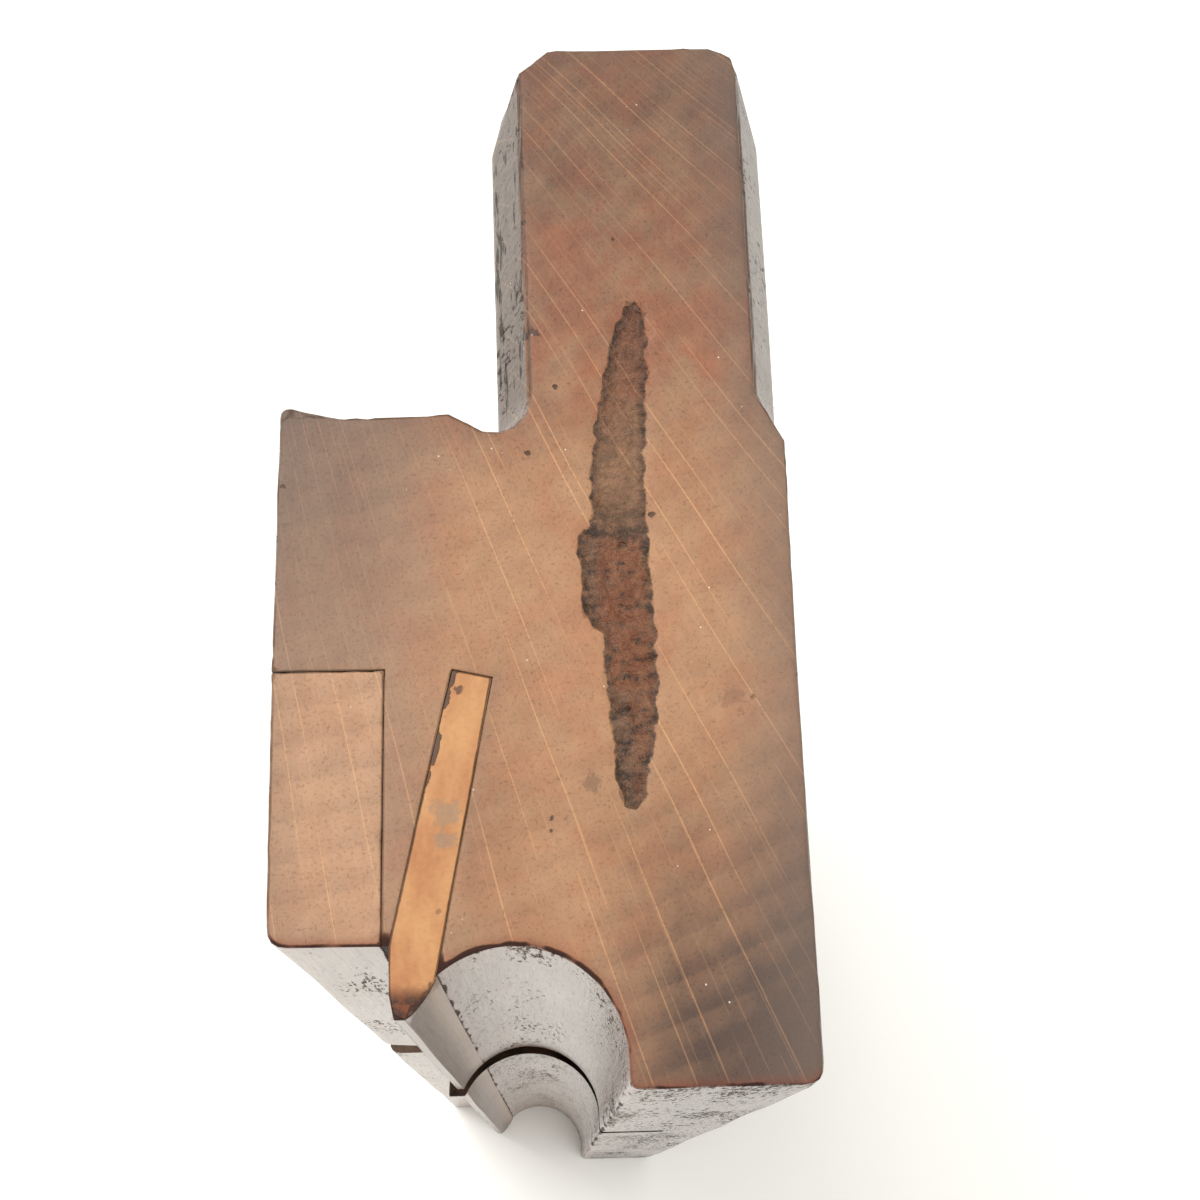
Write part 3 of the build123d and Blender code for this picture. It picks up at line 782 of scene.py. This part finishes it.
# %% Shader arithmetic
class Socket:
    """One output of a node. Arithmetic on it adds Math nodes to the same material."""

    def __init__(self, finish, output):
        self.finish = finish
        self.output = output

    def math(self, operation, *others):
        values = dict(enumerate((self, *others)))
        return self.finish.node("Math", {"operation": operation}, values)

    def __add__(self, other):
        return self.math("ADD", other)

    def __sub__(self, other):
        return self.math("SUBTRACT", other)

    def __mul__(self, other):
        return self.math("MULTIPLY", other)

    def __truediv__(self, other):
        return self.math("DIVIDE", other)

    def __pow__(self, other):
        return self.math("POWER", other)

    def __rsub__(self, other):
        return self.finish.node("Math", {"operation": "SUBTRACT"}, {0: other, 1: self})

    __radd__ = __add__
    __rmul__ = __mul__


class Finish:
    """A material being built from nodes."""

    def __init__(self, name):
        self.material = bpy.data.materials.new(name)
        self.material.use_nodes = True
        self.tree = self.material.node_tree
        self.tree.nodes.clear()
        self.colour = None

    def node(self, kind, settings=None, inputs=None, output=0):
        """Adds a node: its settings first, then its inputs by name or number."""
        made = self.tree.nodes.new("ShaderNode" + kind)
        for key, value in (settings or {}).items():
            setattr(made, key, value)
        for key, value in (inputs or {}).items():
            if isinstance(value, Socket):
                self.tree.links.new(value.output, made.inputs[key])
            else:
                made.inputs[key].default_value = value
        return Socket(self, made.outputs[output])

    def step(self, value, low, high):
        """0 below low, 1 above high, eased between; low above high turns it round."""
        return self.node("MapRange", {"interpolation_type": "SMOOTHSTEP"},
                         {0: value, 1: low, 2: high, 3: 0.0, 4: 1.0})

    def vector(self, x, y, z):
        return self.node("CombineXYZ", None, {0: x, 1: y, 2: z})

    def parts(self, vector):
        return [self.node("SeparateXYZ", None, {0: vector}, i) for i in range(3)]

    def noise(self, vector, detail=2.0, rough=0.5):
        """A cloudy pattern between 0 and 1 with a period of about one unit of the vector."""
        return self.node("TexNoise", None, {"Vector": vector, "Scale": 1.0, "Detail": detail,
                                            "Roughness": rough})

    def spots(self, vector, radius, chance):
        """Round spots, one in some cells: 1 in the middle of a spot, 0 outside it."""
        far = self.node("TexVoronoi", None, {"Vector": vector, "Scale": 1.0}, "Distance")
        cell = self.node("TexVoronoi", None, {"Vector": vector, "Scale": 1.0}, "Color")
        drawn = self.parts(cell)[0]
        return self.step(far, radius, radius * 0.4) * drawn.math("LESS_THAN", chance)

    def mix(self, factor, first, second):
        """From the first colour to the second as the factor goes from 0 to 1."""
        return self.node("Mix", {"data_type": "RGBA"}, {0: factor, 6: first, 7: second}, 2)

    def tint(self, factor, red, green, blue):
        """Mixes a paint into the finish's own colour."""
        self.colour = self.mix(factor, self.colour, paint(red, green, blue))

    def shade(self, amount):
        """Multiplies the finish's own colour by a number."""
        self.colour = self.node("VectorMath", {"operation": "SCALE"}, {0: self.colour, 3: amount})

    def bump(self, height):
        """A normal from a height in millimetres."""
        return self.node("Bump", None, {"Strength": 1.0, "Distance": MM, "Height": height})

    def finish(self, piece_list, **sockets):
        """Ends in a Principled shader with these inputs and gives the pieces the material."""
        shader = self.tree.nodes.new("ShaderNodeBsdfPrincipled")
        for key, value in sockets.items():
            socket = shader.inputs[key.replace("_", " ")]
            if isinstance(value, Socket):
                self.tree.links.new(value.output, socket)
            else:
                socket.default_value = value
        out = self.tree.nodes.new("ShaderNodeOutputMaterial")
        self.tree.links.new(shader.outputs[0], out.inputs[0])
        for piece in piece_list:
            piece.data.materials.clear()
            piece.data.materials.append(self.material)
        print(self.material.name, len(self.tree.nodes), "nodes")


def paint(red, green, blue):
    """A colour as a paint chart reads it, 0 to 255, in the linear values shaders use."""
    chart = np.array([red, green, blue]) / 255
    linear = np.where(chart <= 0.04045, chart / 12.92, ((chart + 0.055) / 1.055) ** 2.4)
    return (*linear.tolist(), 1.0)


print("middle grey on the chart is", round(paint(128, 128, 128)[0], 3), "to a shader")

# %% [markdown]
# ## What the finishes share
# Every finish is a formula of the place on the tool in millimetres, so pattern sizes can be
# checked with a ruler. Some colour follows the shape instead: dirt gathers along an arris, the
# throat's walls are darker, and the mesh carries a number for each. End grain is told from long
# grain by the normal.


# %% What the finishes share
class Wood(Finish):
    """A finish in millimetres of the row frame, with the wear every wooden piece shares."""

    def __init__(self, name, turn=0.0):
        super().__init__(name)
        place = self.node("TexCoord", None, None, "Object")
        grain = self.node("Mapping", None, {0: place, 2: (turn, 0.0, 0.0), 3: (1 / MM,) * 3})
        self.x, self.y, self.z = self.parts(grain)
        self.side, self.up = self.x - SIDE, self.y - FOOT
        facing = self.node("NewGeometry", None, None, "Normal")
        turned = self.node("Mapping", None, {0: facing, 2: (turn, 0.0, 0.0)})
        self.long = 1.0 - self.step(self.parts(turned)[2].math("ABSOLUTE"), 0.55, 0.9)
        self.arris, self.throat_walls = self.noted("arris"), self.noted("throat_walls")

    def noted(self, name):
        """The number that the mesh carries under this name."""
        return self.node("Attribute", {"attribute_name": name}, None, "Fac")

    def cloudy(self, sizes, detail=2.0, rough=0.5):
        """The cloudy pattern, drawn out to these sizes in mm along x, y and z."""
        axes = (self.x, self.y, self.z)
        return self.noise(self.vector(*(axis / size for axis, size in zip(axes, sizes))),
                          detail, rough)

    def torn(self):
        """The small ragged pattern that gives blots their outline."""
        return self.cloudy((1 / 1.4, 1 / 1.4, 1), 3.0, 0.65)

    def streaks(self):
        """Long thin streaks of wax and dirt."""
        return self.cloudy((1 / 1.3, 1 / 1.3, 1 / 0.06), 4.0, 0.65)

    def scratches(self):
        """Long thin scratches along the stock."""
        return self.cloudy((1 / 1.5, 1 / 1.5, 25), 3.0, 0.6)

    def mark(self, side, up, radius, ragged):
        """A ragged blot on the toe's end face: 1 inside this radius of a point, in mm."""
        far = ((self.side - side) ** 2.0 + (self.up - up) ** 2.0) ** 0.5
        blot = self.step(far + (ragged - 0.5) * radius * 4.0, radius * 1.1, radius * 0.5)
        return blot * self.step(self.z, LENGTH - 3.0, LENGTH - 2.0)

    def used_edge(self):
        """1 beside the edges that rub on the work: the hollow's, the fence's and the depth stop's."""
        up, side = self.up, self.side
        round_bead = ((side - BEAD_X) ** 2.0 + (up - BEAD_Y) ** 2.0) ** 0.5 - BEAD
        stop = self.step(up, SOLE + 1.2, SOLE + 0.4) * self.step(side, QUIRK + 1.0, QUIRK + 0.5)
        edge = self.step(round_bead, 1.2, 0.5) + self.step(up, 1.6, 0.6) + stop
        return edge.math("MINIMUM", 1.0)


# %% [markdown]
# ## Beech
# One formula in three dimensions gives every face its own figure. The rings are bands of distance
# from the pith, the rays are thin ribbons that point away from it, and the pores are drawn out
# along the stock. On an end face the rays are then fine radial lines, and on the sides they are
# the short flecks beech is known by. Age adds soft tones, and dark lines where hands meet an edge.
# On the stock's end face, painted shade darkens the top, the left and the right round a lighter
# middle, which stands in for the sheen of a soft light.


# %% Beech
class Beech(Wood):
    """Wood with rings, rays and pores."""

    def figure(self, pith, ring=2.7, drift=0.9):
        """Rings, rays and pores, each 0 to 1, round a pith at this place across the section."""
        x, y, z = self.x, self.y, self.z
        sway = self.noise(self.vector(x / 26.0, y / 26.0, z / 150.0), 1.0)
        lean = self.noise(self.vector(x / 31.0, y / 31.0, z / 170.0 + 9.0), 1.0)
        across = x - pith[0] + (sway - 0.5) * (2 * drift)
        up = y - pith[1] + (lean - 0.5) * (2 * drift)
        away = (across * across + up * up) ** 0.5
        turn = up.math("ARCTAN2", across)
        wave = self.noise(self.vector(turn * 2.2, away / 40.0, z / 400.0), 1.0)
        phase = (away / ring + wave * 1.4).math("FRACT")
        rings = self.step(phase, 0.2, 0.8) * self.step(phase, 1.0, 0.86)
        rays = self.ribbons(turn, away, z, 33.0, 26.0, 5.0, 0.05)
        fine = self.ribbons(turn, away, z, 70.0, 9.0, 2.0, 0.035)
        pores = self.noise(self.vector(x * 3.4, y * 3.4, z * 0.22), 2.0, 0.65)
        return rings, rays, fine, self.step(pores, 0.53, 0.72)

    def ribbons(self, turn, away, z, crowd, deep, tall, half):
        """Thin ribbons along the radius: this many to a radian, so deep, tall and half as wide."""
        cell = self.vector(turn * crowd, away / deep, z / tall)
        middle = self.node("TexVoronoi", None, {"Vector": cell, "Scale": 1.0}, "Position")
        mx, my, mz = self.parts(middle)
        beside = (turn * crowd - mx).math("ABSOLUTE") * away / crowd
        past = ((away / deep - my) ** 2.0 + (z / tall - mz) ** 2.0) ** 0.5
        width = half * (1.25 - past)
        return self.step(beside - width, half * 0.5, -half * 0.5) * self.step(past, 0.75, 0.35)


MARKS = (((20.0, 19.0), 0.26, 0.8), ((20.0, 18.0), 0.2, 0.8), ((23.0, 21.5), 0.7, 0.34),
         ((33.5, 27.5), 0.9, 0.2), ((19.0, 57.0), 0.6, 0.75))       # place, radius, strength


def scar_look(wood, height, rough):
    """Colours the marks and the scar. Gives the height and the roughness with the scar in them."""
    up, side = wood.up, wood.side
    for place, radius, strength in MARKS:
        wood.tint(wood.mark(*place, radius, wood.torn()) * strength, 52, 36, 28)
    torn = wood.cloudy((1 / 1.1, 1 / 0.8, 1), 4.0, 0.65)
    ridge = wood.cloudy((1, 1 / 1.5, 1), 4.0, 0.7)
    inside = wood.noted("scar") + (torn - 0.5) * 0.8
    mask = wood.step(inside, -0.06, 0.16)
    rim = wood.step(inside, 0.85, 0.1)
    # bare wood shows orange half-way up, and low on the right
    left = wood.step(side + torn, 24.9, 23.9)
    bared = wood.step(up + torn * 4.0, 28.5, 31.0) * wood.step(up + torn * 3.0, 42.5, 40.5)
    low = wood.step(up + torn * 3.0, 30.5, 28.5) * wood.step(side + torn, 26.2, 26.9)
    orange = ((bared + low * 0.7) * (1.0 - rim) * (1.0 - left)).math("MINIMUM", 1.0)
    dark = wood.mix(wood.step(ridge, 0.36, 0.68), paint(26, 19, 15), paint(96, 67, 50))
    inner = wood.mix(orange * wood.step(ridge, 0.3, 0.55) * 0.85, dark, paint(108, 58, 32))
    # toward its top the scar is fainter
    faint = wood.step(up + torn * 5.0, 43.0, 47.0) * (1.0 - rim) * 0.4
    cover = 0.72 + 0.22 * wood.step(torn, 0.4, 0.6) - faint
    wood.colour = wood.mix(mask * cover, wood.colour, inner)
    return height + mask * (ridge * 0.55 + torn * 0.3 - 0.5), rough - mask * 0.2


def beech(name, pieces, pith, fresh, warm, aged, ray, darkening, turn=0.0, scarred=False):
    """Old waxed beech: fresh and warm in patches, darkened to aged where the tone is near 1; on the
    stock's end face that tone holds painted shade.
    """
    wood = Beech(name, turn)
    x, y, z, up, side, long = wood.x, wood.y, wood.z, wood.up, wood.side, wood.long
    rings, rays, fine, pores = wood.figure(pith)
    cloud = wood.cloudy((9, 9, 60), 3.0, 0.6)
    patch = wood.noise(wood.vector(x / 5.0 + 7.0, y / 6.0, z / 40.0), 4.0, 0.65)
    mottle = wood.cloudy((1.7, 2.2, 14), 4.0, 0.65)
    years, shade_and_tone = darkening(wood)
    # the darkening holds painted shade on the stock's end face, and an even tone on the other pieces
    tone = cloud * 0.5 + mottle * 0.36 - 0.43 + rings * years + shade_and_tone
    tone = tone.math("MAXIMUM", 0.0).math("MINIMUM", 1.0)
    # the grip, above the shoulder, is more patchy and less waxed
    grip = wood.step(up, 46.0, 54.0)
    patches = wood.step(patch, 0.42, 0.62) * 0.32 + grip * wood.step(patch, 0.3, 0.6) * 0.55
    wood.colour = wood.mix(patches, paint(*fresh), paint(*warm))
    wood.tint(tone, *aged)
    wood.tint((rays * (0.6 - tone * 0.36) + fine * 0.16) * (1.0 - grip * 0.25), *ray)
    # long grain is browner, and darkest where the plane is held
    wood.tint(long * (0.4 + wood.streaks() * 0.5), 74, 51, 35)
    wood.tint(rays * long * 0.2, *ray)
    wood.tint(long * wood.step(up + cloud * 12.0, 48.0, 62.0) * 0.5, 58, 50, 36)
    # cracks across the end chamfer on the shoulder side
    checks = wood.step(wood.cloudy((1 / 0.6, 1 / 0.3, 1 / 1.3), 4.0, 0.65), 0.57, 0.64)
    checks = checks * wood.step(z, LENGTH - 8.0, LENGTH - 6.5) * long * grip
    checks = checks * wood.step(side, WIDTH - 6.0, WIDTH - 12.0)
    wood.tint(checks * 0.6, 30, 26, 20)
    speck = wood.cloudy((1 / 4.2, 1 / 4.2, 1 / 1.1))
    wood.shade(1.0 - pores * 0.13 - wood.step(speck, 0.56, 0.76) * 0.26)

    # dirt along the arrises: a hair line at joints, a burnt-looking one where the sole was used
    used = wood.used_edge()
    ragged = wood.cloudy((1.3, 1.3, 3), 4.0, 0.65)
    blob = wood.step(wood.cloudy((3.4, 3.4, 6)), 0.4, 0.68)
    reach = 0.02 + ragged * 0.06 + used * (0.01 + blob * 0.22 + ragged * 0.1)
    line = wood.step(wood.arris, reach + 0.1, reach - 0.04)
    joint = wood.step(side, 1.5, 3.0) * wood.step(side, 14.5, 13.0) * wood.step(up, SOLE, SOLE + 2.0)
    halo = (wood.arris * -0.55).math("EXPONENT") * (1.0 - joint * wood.step(up, 44.0, 40.0))
    wood.tint(halo * (0.14 + 0.3 * ragged), 84, 66, 58)
    if scarred:
        # the stock is greyer and darker toward its left and right
        flank = wood.step((side - 23.0).math("ABSOLUTE"), 6.0, 17.0)
        wood.tint(flank * 0.36, 118, 103, 93)
    wood.tint((wood.arris * -2.8).math("EXPONENT") * used * 0.8, 118, 46, 16)
    wood.tint(line * (0.5 + used * 0.42), 34, 14, 9)
    # darker on the throat's walls and in the screw holes
    wood.tint(wood.throat_walls * 0.7, 44, 33, 27)

    # pits, dust, and the flecks and scratches of long grain
    spot = wood.vector(x / 2.3 + ragged * 0.5, y / 2.3 + mottle * 0.5, z / 5.0)
    pits = wood.spots(spot, 0.12, 0.10)
    wood.tint(pits * 0.8, 30, 20, 16)
    dust = wood.spots(wood.vector(x * 1.25, y * 1.25, z * 1.25), 0.11, 0.06)
    wood.tint(dust * 0.8, 214, 205, 192)
    crackle = wood.cloudy((1 / 2.4, 1 / 2.4, 2), 4.0, 0.7)
    worn = wood.cloudy((5, 5, 22))
    rubbed = wood.step(up, 4.0, 1.0) * wood.step(side, FENCE - 3.0, FENCE - 1.0) * 0.08
    flecks = wood.step(crackle + worn * 0.5 + rubbed, 0.85, 0.95) * long
    wood.tint(flecks * 0.6, 30, 22, 17)
    height = mottle * 0.06 - pores * 0.02 - pits * 0.15 + rays * 0.008 - line * 0.08
    height = height + long * (wood.scratches() * 0.14 - flecks * 0.06) - checks * 0.25
    rough = 0.5 - long * 0.2 + mottle * 0.16 + pores * 0.08 + (flecks + line + checks) * 0.35
    wax = long * (0.62 - grip * 0.27) * (1.0 - flecks) * (1.0 - line) * (1.0 - checks * 0.7)
    if scarred:
        height, rough = scar_look(wood, height, rough)
    wood.finish(pieces, Base_Color=wood.colour, Roughness=rough, Normal=wood.bump(height),
                Specular_IOR_Level=0.35, Coat_Weight=wax, Coat_Roughness=0.2)


def stock_rings_and_shade(wood):
    """How strong the rings are, and how dark each part of the end face is: painted shade at the top,
    the right and the left, round a lighter middle that stands in for a soft sheen, and darker low on
    the right.
    """
    up, side = wood.up, wood.side
    # painted shade: darker toward the top, the right and the left, so the lighter middle reads as a
    # soft sheen
    top = wood.step(up, 34.0, 84.0) * 0.5 + wood.step(up, 40.0, 52.0) * 0.1
    right = wood.step(side, 31.0, 38.5) * 0.25
    foot = wood.step(up, 28.0, 3.0) * wood.step(side, 20.0, 31.0)
    left = wood.step(side, 16.0, 0.0) * (wood.step(up, 26.0, 48.0) * 0.36 + 0.14)
    return foot * 0.1 + 0.05, top + right + foot * 0.75 + left + 0.1


def even_age(amount):
    """Rings and tone the same all over the piece."""
    return lambda wood: (0.1, amount)


PITH = (-35.3, 81.4)
# the stock's end face gets painted shade at its top and sides
beech("beech", [stock], PITH, (164, 123, 90), (160, 94, 60), (72, 54, 45), (198, 148, 104),
      stock_rings_and_shade, scarred=True)
beech("slip_beech", [wooden["slip_toe"], wooden["slip_heel"]], PITH, (172, 134, 105),
      (160, 114, 82), (84, 64, 53), (200, 154, 112), even_age(0.08))
beech("wedge_beech", [metal_and_wedge["wedge"]], (-30.0, 140.0), (150, 110, 80), (140, 88, 60),
      (80, 60, 48), (180, 130, 92), even_age(0.25), turn=-PITCH)

# %% [markdown]
# ## Boxwood
# Boxwood is much finer and yellower than beech: no rays to be seen, hardly a ring, a surface like
# ivory. It greys where the wax and the dirt of the bench soak in, and its thin tip is burnished
# nearly brown.


# %% Boxwood
def boxwood(name, pieces):
    """Waxed boxwood with its stains, its dark tip and the dirt in its joints."""
    wood = Wood(name)
    x, y, z, up, side, long = wood.x, wood.y, wood.z, wood.up, wood.side, wood.long
    cloud = wood.cloudy((4, 4, 40), 3.0, 0.6)
    fine = wood.cloudy((1 / 2.4, 1 / 2.4, 1 / 0.12), 3.0, 0.6)
    soft = wood.noise(wood.vector(x / 3.0 + 3.0, y / 7.0, z / 30.0), 3.0, 0.55)
    wood.colour = wood.mix(wood.step(soft, 0.35, 0.66), paint(178, 130, 84), paint(160, 106, 66))
    wood.shade(1.06 - wood.step(fine, 0.4, 0.75) * 0.12)
    # two grey stains, a dent, and the burnished tip
    torn = wood.torn()
    stain = wood.mark(12.5, 19.5, 1.1, torn) + wood.mark(12.5, 17.5, 0.8, torn)
    wood.tint(stain.math("MINIMUM", 1.0) * 0.42, 112, 110, 98)
    wood.tint(wood.mark(13.5, 28.5, 0.35, torn) * 0.8, 60, 38, 24)
    tip = wood.step(up + torn * 1.6, QUIRK_TIP + 3.4, QUIRK_TIP + 2.0)
    wood.tint(tip * 0.92, 92, 42, 12)
    wood.tint(tip * wood.step(torn, 0.42, 0.58) * 0.75, 28, 13, 6)
    # dirt in the joints, widest in the upper part of the outer one
    left = wood.step(side - (up - SOLE) * np.tan(BOXING_TILT), QUIRK + 0.9, QUIRK + 0.2)
    ragged = wood.cloudy((1.1, 1.1, 3), 3.0, 0.6)
    gap = left * wood.step(up, 20.0, 25.0) * wood.step(ragged, 0.38, 0.62)
    reach = ragged * 0.1 + gap * 0.5
    line = wood.step(wood.arris, reach + 0.08, reach - 0.05)
    wood.tint(line * 0.85, 28, 15, 9)
    # darker on the throat's walls and in the screw holes
    wood.tint(wood.throat_walls * 0.8, 40, 30, 25)
    wood.tint(long * (0.45 + wood.streaks() * 0.4), 96, 74, 52)
    specks = wood.spots(wood.vector(x / 1.9, y / 1.9, z / 5.0), 0.14, 0.2)
    wood.tint(specks * 0.5, 100, 66, 42)
    height = cloud * 0.05 + fine * 0.015 - specks * 0.06 - line * 0.1
    height = height + long * wood.scratches() * 0.1
    wood.finish(pieces, Base_Color=wood.colour, Roughness=0.38 + cloud * 0.16,
                Specular_IOR_Level=0.35, Normal=wood.bump(height),
                Coat_Weight=long * 0.6 * (1.0 - line), Coat_Roughness=0.2)


boxwood("boxwood", [wooden["boxing_toe"], wooden["boxing_heel"]])

# %% [markdown]
# ## Iron and screws
# The iron is forged and has been in a damp shed: nearly black, brown where rust started, with
# file marks across it. Only the bevel under the edge is ground, so metal shows there. The screws
# are turned steel whose heads a screwdriver has brightened.


# %% Iron and screws
def old_metal(name, pieces, dark, rust, bright, shine):
    """Dark metal with rust, and a bright part given by the shine function of the finish."""
    metal = Wood(name)
    x, y, z = metal.x, metal.y, metal.z
    cloud = metal.cloudy((6, 6, 6), 4.0, 0.6)
    grit = metal.cloudy((1 / 1.7, 1 / 1.7, 1 / 1.7), 3.0, 0.65)
    brown = metal.step(cloud + grit * 0.3, 0.6, 0.82)
    ground = shine(metal)
    metal.colour = metal.mix(grit, paint(*dark), paint(*[1.25 * value for value in dark]))
    metal.tint(brown * 0.75, *rust)
    metal.tint(ground * 0.85, *bright)
    pits = metal.spots(metal.vector(x / 1.6, y / 1.6, z / 1.6), 0.2, 0.3)
    file_marks = metal.cloudy((1 / 0.15, 0.2, 0.2))
    height = grit * 0.05 - pits * 0.06 + file_marks * 0.012
    metal.finish(pieces, Base_Color=metal.colour, Metallic=0.92 - brown * 0.7,
                 Roughness=0.5 + brown * 0.3 - ground * 0.2 + grit * 0.1,
                 Normal=metal.bump(height))


def below_bevel(metal):
    """The ground bevel: behind the edge, where the iron gets thinner than its bar."""
    behind = metal.node("NewGeometry", None, None, "Normal")
    y, z = metal.parts(behind)[1:]
    tilt = y * float(UP[1]) + z * float(UP[2])
    return metal.step(tilt, -0.3, -0.5) * metal.step(metal.up, 24.0, 18.0)


def on_the_head(metal):
    """The outer face of a screw's head."""
    return metal.step(metal.side, 1.0, 0.3) * 0.6


old_metal("iron", [metal_and_wedge["iron"]], (66, 59, 53), (98, 62, 40), (176, 172, 166),
          below_bevel)
old_metal("screw_steel", [metal_and_wedge["slip_screws_toe"], metal_and_wedge["slip_screws_heel"]],
          (96, 90, 84), (112, 76, 52), (168, 164, 158), on_the_head)

# %% [markdown]
# ## Floor, light and camera
# The plane stands on its heel on a white sheet. The light is one broad soft source over it and
# white all round, so the shadows are faint and the waxed sides mirror the pale sheet where they
# are seen at a slant. The camera hangs above the sole side and looks steeply down at the toe.

# %% Floor, light and camera
sheet_mesh = bpy.data.meshes.new("sheet")
sheet_mesh.from_pydata([(-9, -9, 0), (9, -9, 0), (9, 9, 0), (-9, 9, 0)], [], [(0, 1, 2, 3)])
sheet = bpy.data.objects.new("sheet", sheet_mesh)
bpy.context.collection.objects.link(sheet)
Finish("white_sheet").finish([sheet], Base_Color=(0.94, 0.935, 0.9, 1.0), Roughness=0.85)

world = bpy.data.worlds.new("white studio")
world.use_nodes = True
sky = world.node_tree.nodes["Background"]
sky.inputs["Color"].default_value = (1.0, 0.985, 0.94, 1.0)
sky.inputs["Strength"].default_value = 0.8
bpy.context.scene.world = world


def soft_light(name, place, aim, size, watts):
    """A square lamp at a place in metres, turned toward its aim."""
    data = bpy.data.lights.new(name, "AREA")
    data.size = size
    data.energy = watts
    lamp = bpy.data.objects.new(name, data)
    lamp.location = place
    lamp.rotation_euler = (Vector(aim) - Vector(place)).to_track_quat("-Z", "Y").to_euler()
    bpy.context.collection.objects.link(lamp)
    return lamp


MIDDLE = (0, 0, 0.15)
key = soft_light("key", (-0.5, 0.55, 1.1), MIDDLE, 0.8, 13.0)
fill = soft_light("fill", (0.6, -0.7, 0.9), MIDDLE, 0.9, 4.5)

right = Vector((0.99932, -0.02870, 0.02297))
forward = Vector((0.03066, 0.30620, -0.95147)).normalized()
down = forward.cross(right).normalized()
lens = bpy.data.cameras.new("camera")
lens.sensor_width = 36.0
lens.lens = 55.48
lens.clip_start = 0.01
camera = bpy.data.objects.new("camera", lens)
eye = Vector((0.507, -48.949, 371.3)) * MM
turned = Matrix((right, -down, -forward)).transposed().to_4x4()
camera.matrix_world = Matrix.Translation(eye) @ turned
bpy.context.collection.objects.link(camera)
bpy.context.scene.camera = camera
bpy.context.scene.view_settings.view_transform = "Standard"
print("camera at", [round(value, 3) for value in eye], "m, lens", round(lens.lens, 1), "mm")
